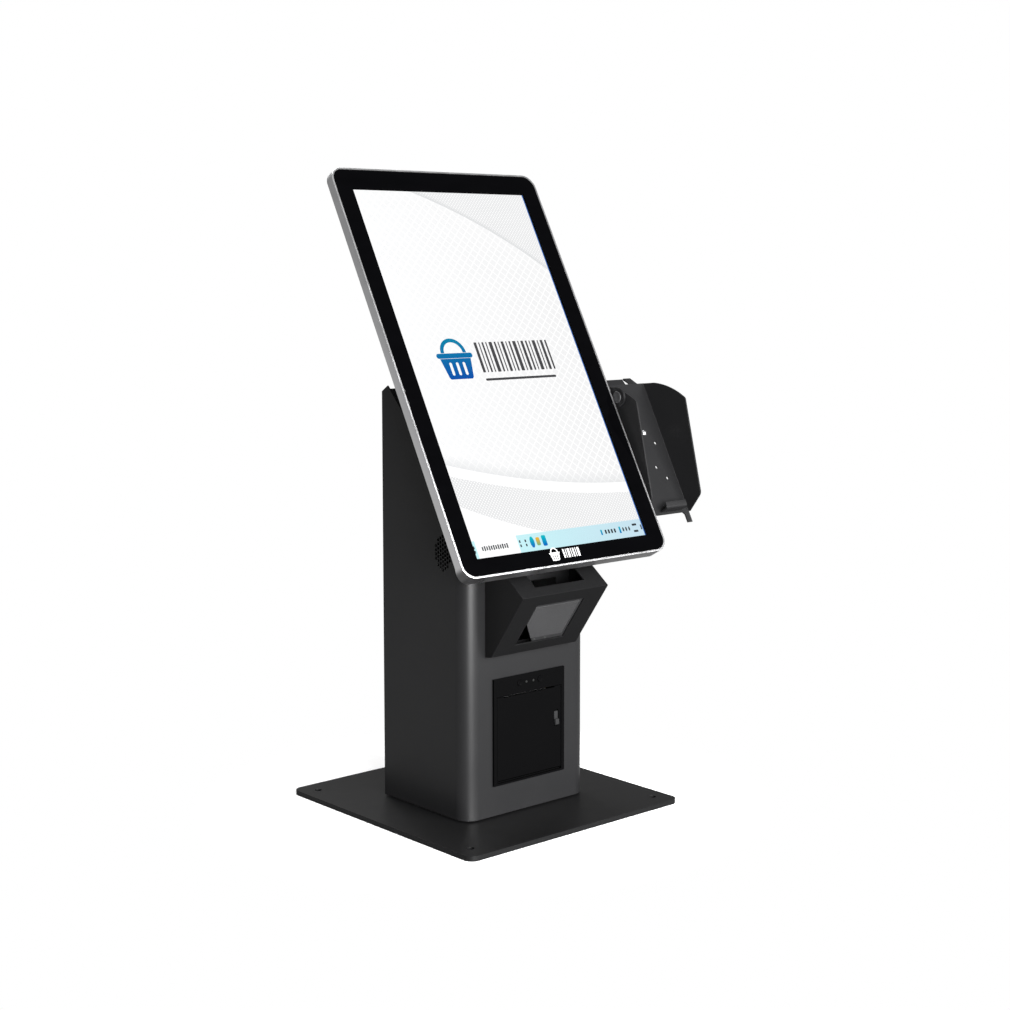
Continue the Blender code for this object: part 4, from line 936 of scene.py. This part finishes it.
def make_cradle(skins):
    """One bent sheet with a leg and two side walls, and its two tabs and foot lip."""
    place = tipped(CRADLE_TOP, -CRADLE_TILT)
    low, high = local_box("terminal_cradle", place)
    middle, half = (low.x + high.x) / 2, (high.x - low.x) / 2
    radius = 2.6 * MM
    flat, quarter = half - radius, radius * math.pi / 2
    foot, leg = -181 * MM, low.z

    def out(y):
        """How far along the flat sheet a wall's point lies, from its depth."""
        return flat + quarter + SHEET - y - radius

    rounds = arc((37, -106.8), 113.4, 118.5, 144, 12) + arc((-54.6, -49.4), 5.4, 150, 193, 8)
    rounds += arc((-22, -162), 9, 193, 240, 8)
    wall = [(out(0) - 0.4 * MM, 0)] + [(out(y * MM), z * MM) for y, z in rounds]
    wall.append((out(-2 * MM), foot))
    right = wall + [(flat + quarter * 0.6, foot), (flat + quarter * 0.6, leg),
                    (flat - 7 * MM, leg), (flat - 7 * MM, foot - 3 * MM),
                    (flat - 10 * MM, foot)]
    left = [(-s, z) for s, z in reversed(wall)]
    fixing = 2.2 * MM
    holes = [circle((x * MM - middle, z * MM), fixing, 20)
             for x, z in ((238, -84), (225, -117), (237.5, -133), (224.5, -69))]
    sheet = bend(slab([right + left, *holes], 0, SHEET, "Y"), flat, radius, SHEET, -1, 6)
    bmesh.ops.translate(sheet, vec=(middle, 0, 0), verts=sheet.verts)
    tabs = []
    for start, end, back, up in ((178, 222, 3, 8.5), (230, 243, 9, 12)):
        tab = [(0.5, -1), (0.5, 0.5), (back, up), (back + 1.4, up - 1.4), (1.5, -1)]
        tabs.append(slab([scaled(tab, MM)], start * MM, end * MM, "X"))
    shelf = [(0.5, -178), (0.5, -176), (-10, -176), (-11.4, -175.2), (-12, -173.6),
             (-12, -169), (-14, -169), (-14, -174.5), (-13.2, -176.6), (-11.6, -178)]
    lip = slab([scaled(shelf, MM)], 204 * MM, 240 * MM, "X")
    piece("cradle_sheet", merged(sheet, *tabs, lip), skins["powder_coat"],
          "terminal_cradle", ["terminal_cradle"], place, edge=0.35 * MM, angle=50)


# ---------------------------------------------------------------- studio

def make_floor():
    """A pale floor that fades with distance, so that the white background takes over."""
    bm = bmesh.new()
    bmesh.ops.create_grid(bm, x_segments=1, y_segments=1, size=3)
    mesh = bpy.data.meshes.new("floor")
    bm.to_mesh(mesh)
    bm.free()
    floor = bpy.data.objects.new("floor", mesh)
    floor.location.z = -0.2 * MM
    floor.visible_glossy = False
    bpy.context.scene.collection.objects.link(floor)
    skin = Skin("pale_floor")
    nodes, links = skin.tree.nodes, skin.tree.links
    length = nodes.new("ShaderNodeVectorMath")
    length.operation = "LENGTH"
    skin.feed(skin.position, length.inputs[0])
    fade = nodes.new("ShaderNodeMapRange")
    fade.interpolation_type = "SMOOTHSTEP"
    skin.feed(length.outputs["Value"], fade.inputs["Value"])
    fade.inputs["From Min"].default_value = 0.2
    fade.inputs["From Max"].default_value = 0.36
    clear = nodes.new("ShaderNodeBsdfTransparent")
    blend = nodes.new("ShaderNodeMixShader")
    links.new(fade.outputs[0], blend.inputs[0])
    links.new(skin.shader.outputs[0], blend.inputs[1])
    links.new(clear.outputs[0], blend.inputs[2])
    links.new(blend.outputs[0], skin.output.inputs["Surface"])
    mesh.materials.append(skin.set(base_color=(0.92, 0.92, 0.92), roughness=0.9,
                                   specular_ior_level=0.1, emission_color=(1, 1, 1),
                                   emission_strength=0.15))


def make_world():
    """White to the camera; to all else brightest just below level, dim above and below."""
    world = bpy.data.worlds.new("studio")
    bpy.context.scene.world = world
    world.use_nodes = True
    nodes, links = world.node_tree.nodes, world.node_tree.links
    fill = nodes["Background"]
    fill.inputs["Color"].default_value = (1, 1, 1, 1)
    heading = nodes.new("ShaderNodeTexCoord")
    split = nodes.new("ShaderNodeSeparateXYZ")
    links.new(heading.outputs["Generated"], split.inputs[0])
    height = nodes.new("ShaderNodeMapRange")
    height.interpolation_type = "SMOOTHSTEP"
    links.new(split.outputs["Z"], height.inputs["Value"])
    height.inputs["From Min"].default_value = -0.2
    height.inputs["From Max"].default_value = 0.06
    height.inputs["To Min"].default_value = 0.6
    height.inputs["To Max"].default_value = 0.22
    depth = nodes.new("ShaderNodeMapRange")
    links.new(split.outputs["Z"], depth.inputs["Value"])
    depth.inputs["From Min"].default_value = -0.6
    depth.inputs["From Max"].default_value = -0.2
    depth.inputs["To Min"].default_value = 0.12
    depth.inputs["To Max"].default_value = 1
    strength = nodes.new("ShaderNodeMath")
    strength.operation = "MULTIPLY"
    links.new(height.outputs[0], strength.inputs[0])
    links.new(depth.outputs[0], strength.inputs[1])
    links.new(strength.outputs[0], fill.inputs["Strength"])
    seen = nodes.new("ShaderNodeBackground")
    seen.inputs["Color"].default_value = (1, 1, 1, 1)
    path = nodes.new("ShaderNodeLightPath")
    blend = nodes.new("ShaderNodeMixShader")
    links.new(path.outputs["Is Camera Ray"], blend.inputs[0])
    links.new(fill.outputs[0], blend.inputs[1])
    links.new(seen.outputs[0], blend.inputs[2])
    links.new(blend.outputs[0], nodes["World Output"].inputs["Surface"])


def make_light(name, place, aim, size, power):
    """A rectangular soft box that faces a point."""
    data = bpy.data.lights.new(name, "AREA")
    data.shape = "RECTANGLE"
    data.size, data.size_y = size
    data.energy = power
    light = bpy.data.objects.new(name, data)
    light.location = place
    heading = Vector(aim) - Vector(place)
    light.rotation_euler = heading.to_track_quat("-Z", "Y").to_euler()
    bpy.context.scene.collection.objects.link(light)


def make_studio():
    make_floor()
    make_world()
    make_light("key", (0.4, -2.8, 1.2), (0, 0, 0.3), (2.2, 1.8), 260)
    make_light("corner_strip", (-1.0, -2.4, 0.5), (0, 0, 0.2), (1.1, 0.9), 185)
    make_light("fill_right", (2.0, -1.9, 0.45), (0, 0, 0.25), (1.2, 0.7), 4)
    make_light("top", (0.2, 0.3, 2.4), (0, 0, 0.3), (1.2, 1.2), 16)
    make_light("back", (0.2, 2.2, 2.4), (0, 0, 0.35), (1.4, 0.8), 60)


def make_camera():
    """The camera, from its turn round the kiosk, its rise above level and its roll."""
    data = bpy.data.cameras.new("camera")
    data.lens = CAMERA_LENS
    data.shift_x, data.shift_y = CAMERA_SHIFT
    data.clip_start, data.clip_end = 0.05, 200
    camera = bpy.data.objects.new("camera", data)
    level = Matrix.Rotation(CAMERA_TURN, 4, "Z") @ Matrix.Rotation(math.pi / 2, 4, "X")
    dip = Matrix.Rotation(-CAMERA_RISE, 4, "X")
    roll = Matrix.Rotation(CAMERA_ROLL, 4, "Z")
    camera.matrix_world = Matrix.Translation(CAMERA_PLACE) @ level @ dip @ roll
    bpy.context.scene.collection.objects.link(camera)
    bpy.context.scene.camera = camera


def main():
    make_camera()
    make_studio()
    bpy.context.scene.view_settings.view_transform = "Standard"
    skins = make_skins()
    dress_nodes(skins)
    make_base_plate()
    make_column(skins)
    display = tipped(SCREEN_CENTRE, -DISPLAY_TILT)
    make_display_frame(skins, display)
    make_cover_glass(skins, display)
    make_screen(skins, display)
    make_housing(skins, display)
    make_scanner_rim(skins)
    make_keys(skins)
    make_screws(skins)
    make_socket_pins(skins)
    make_cradle(skins)


main()
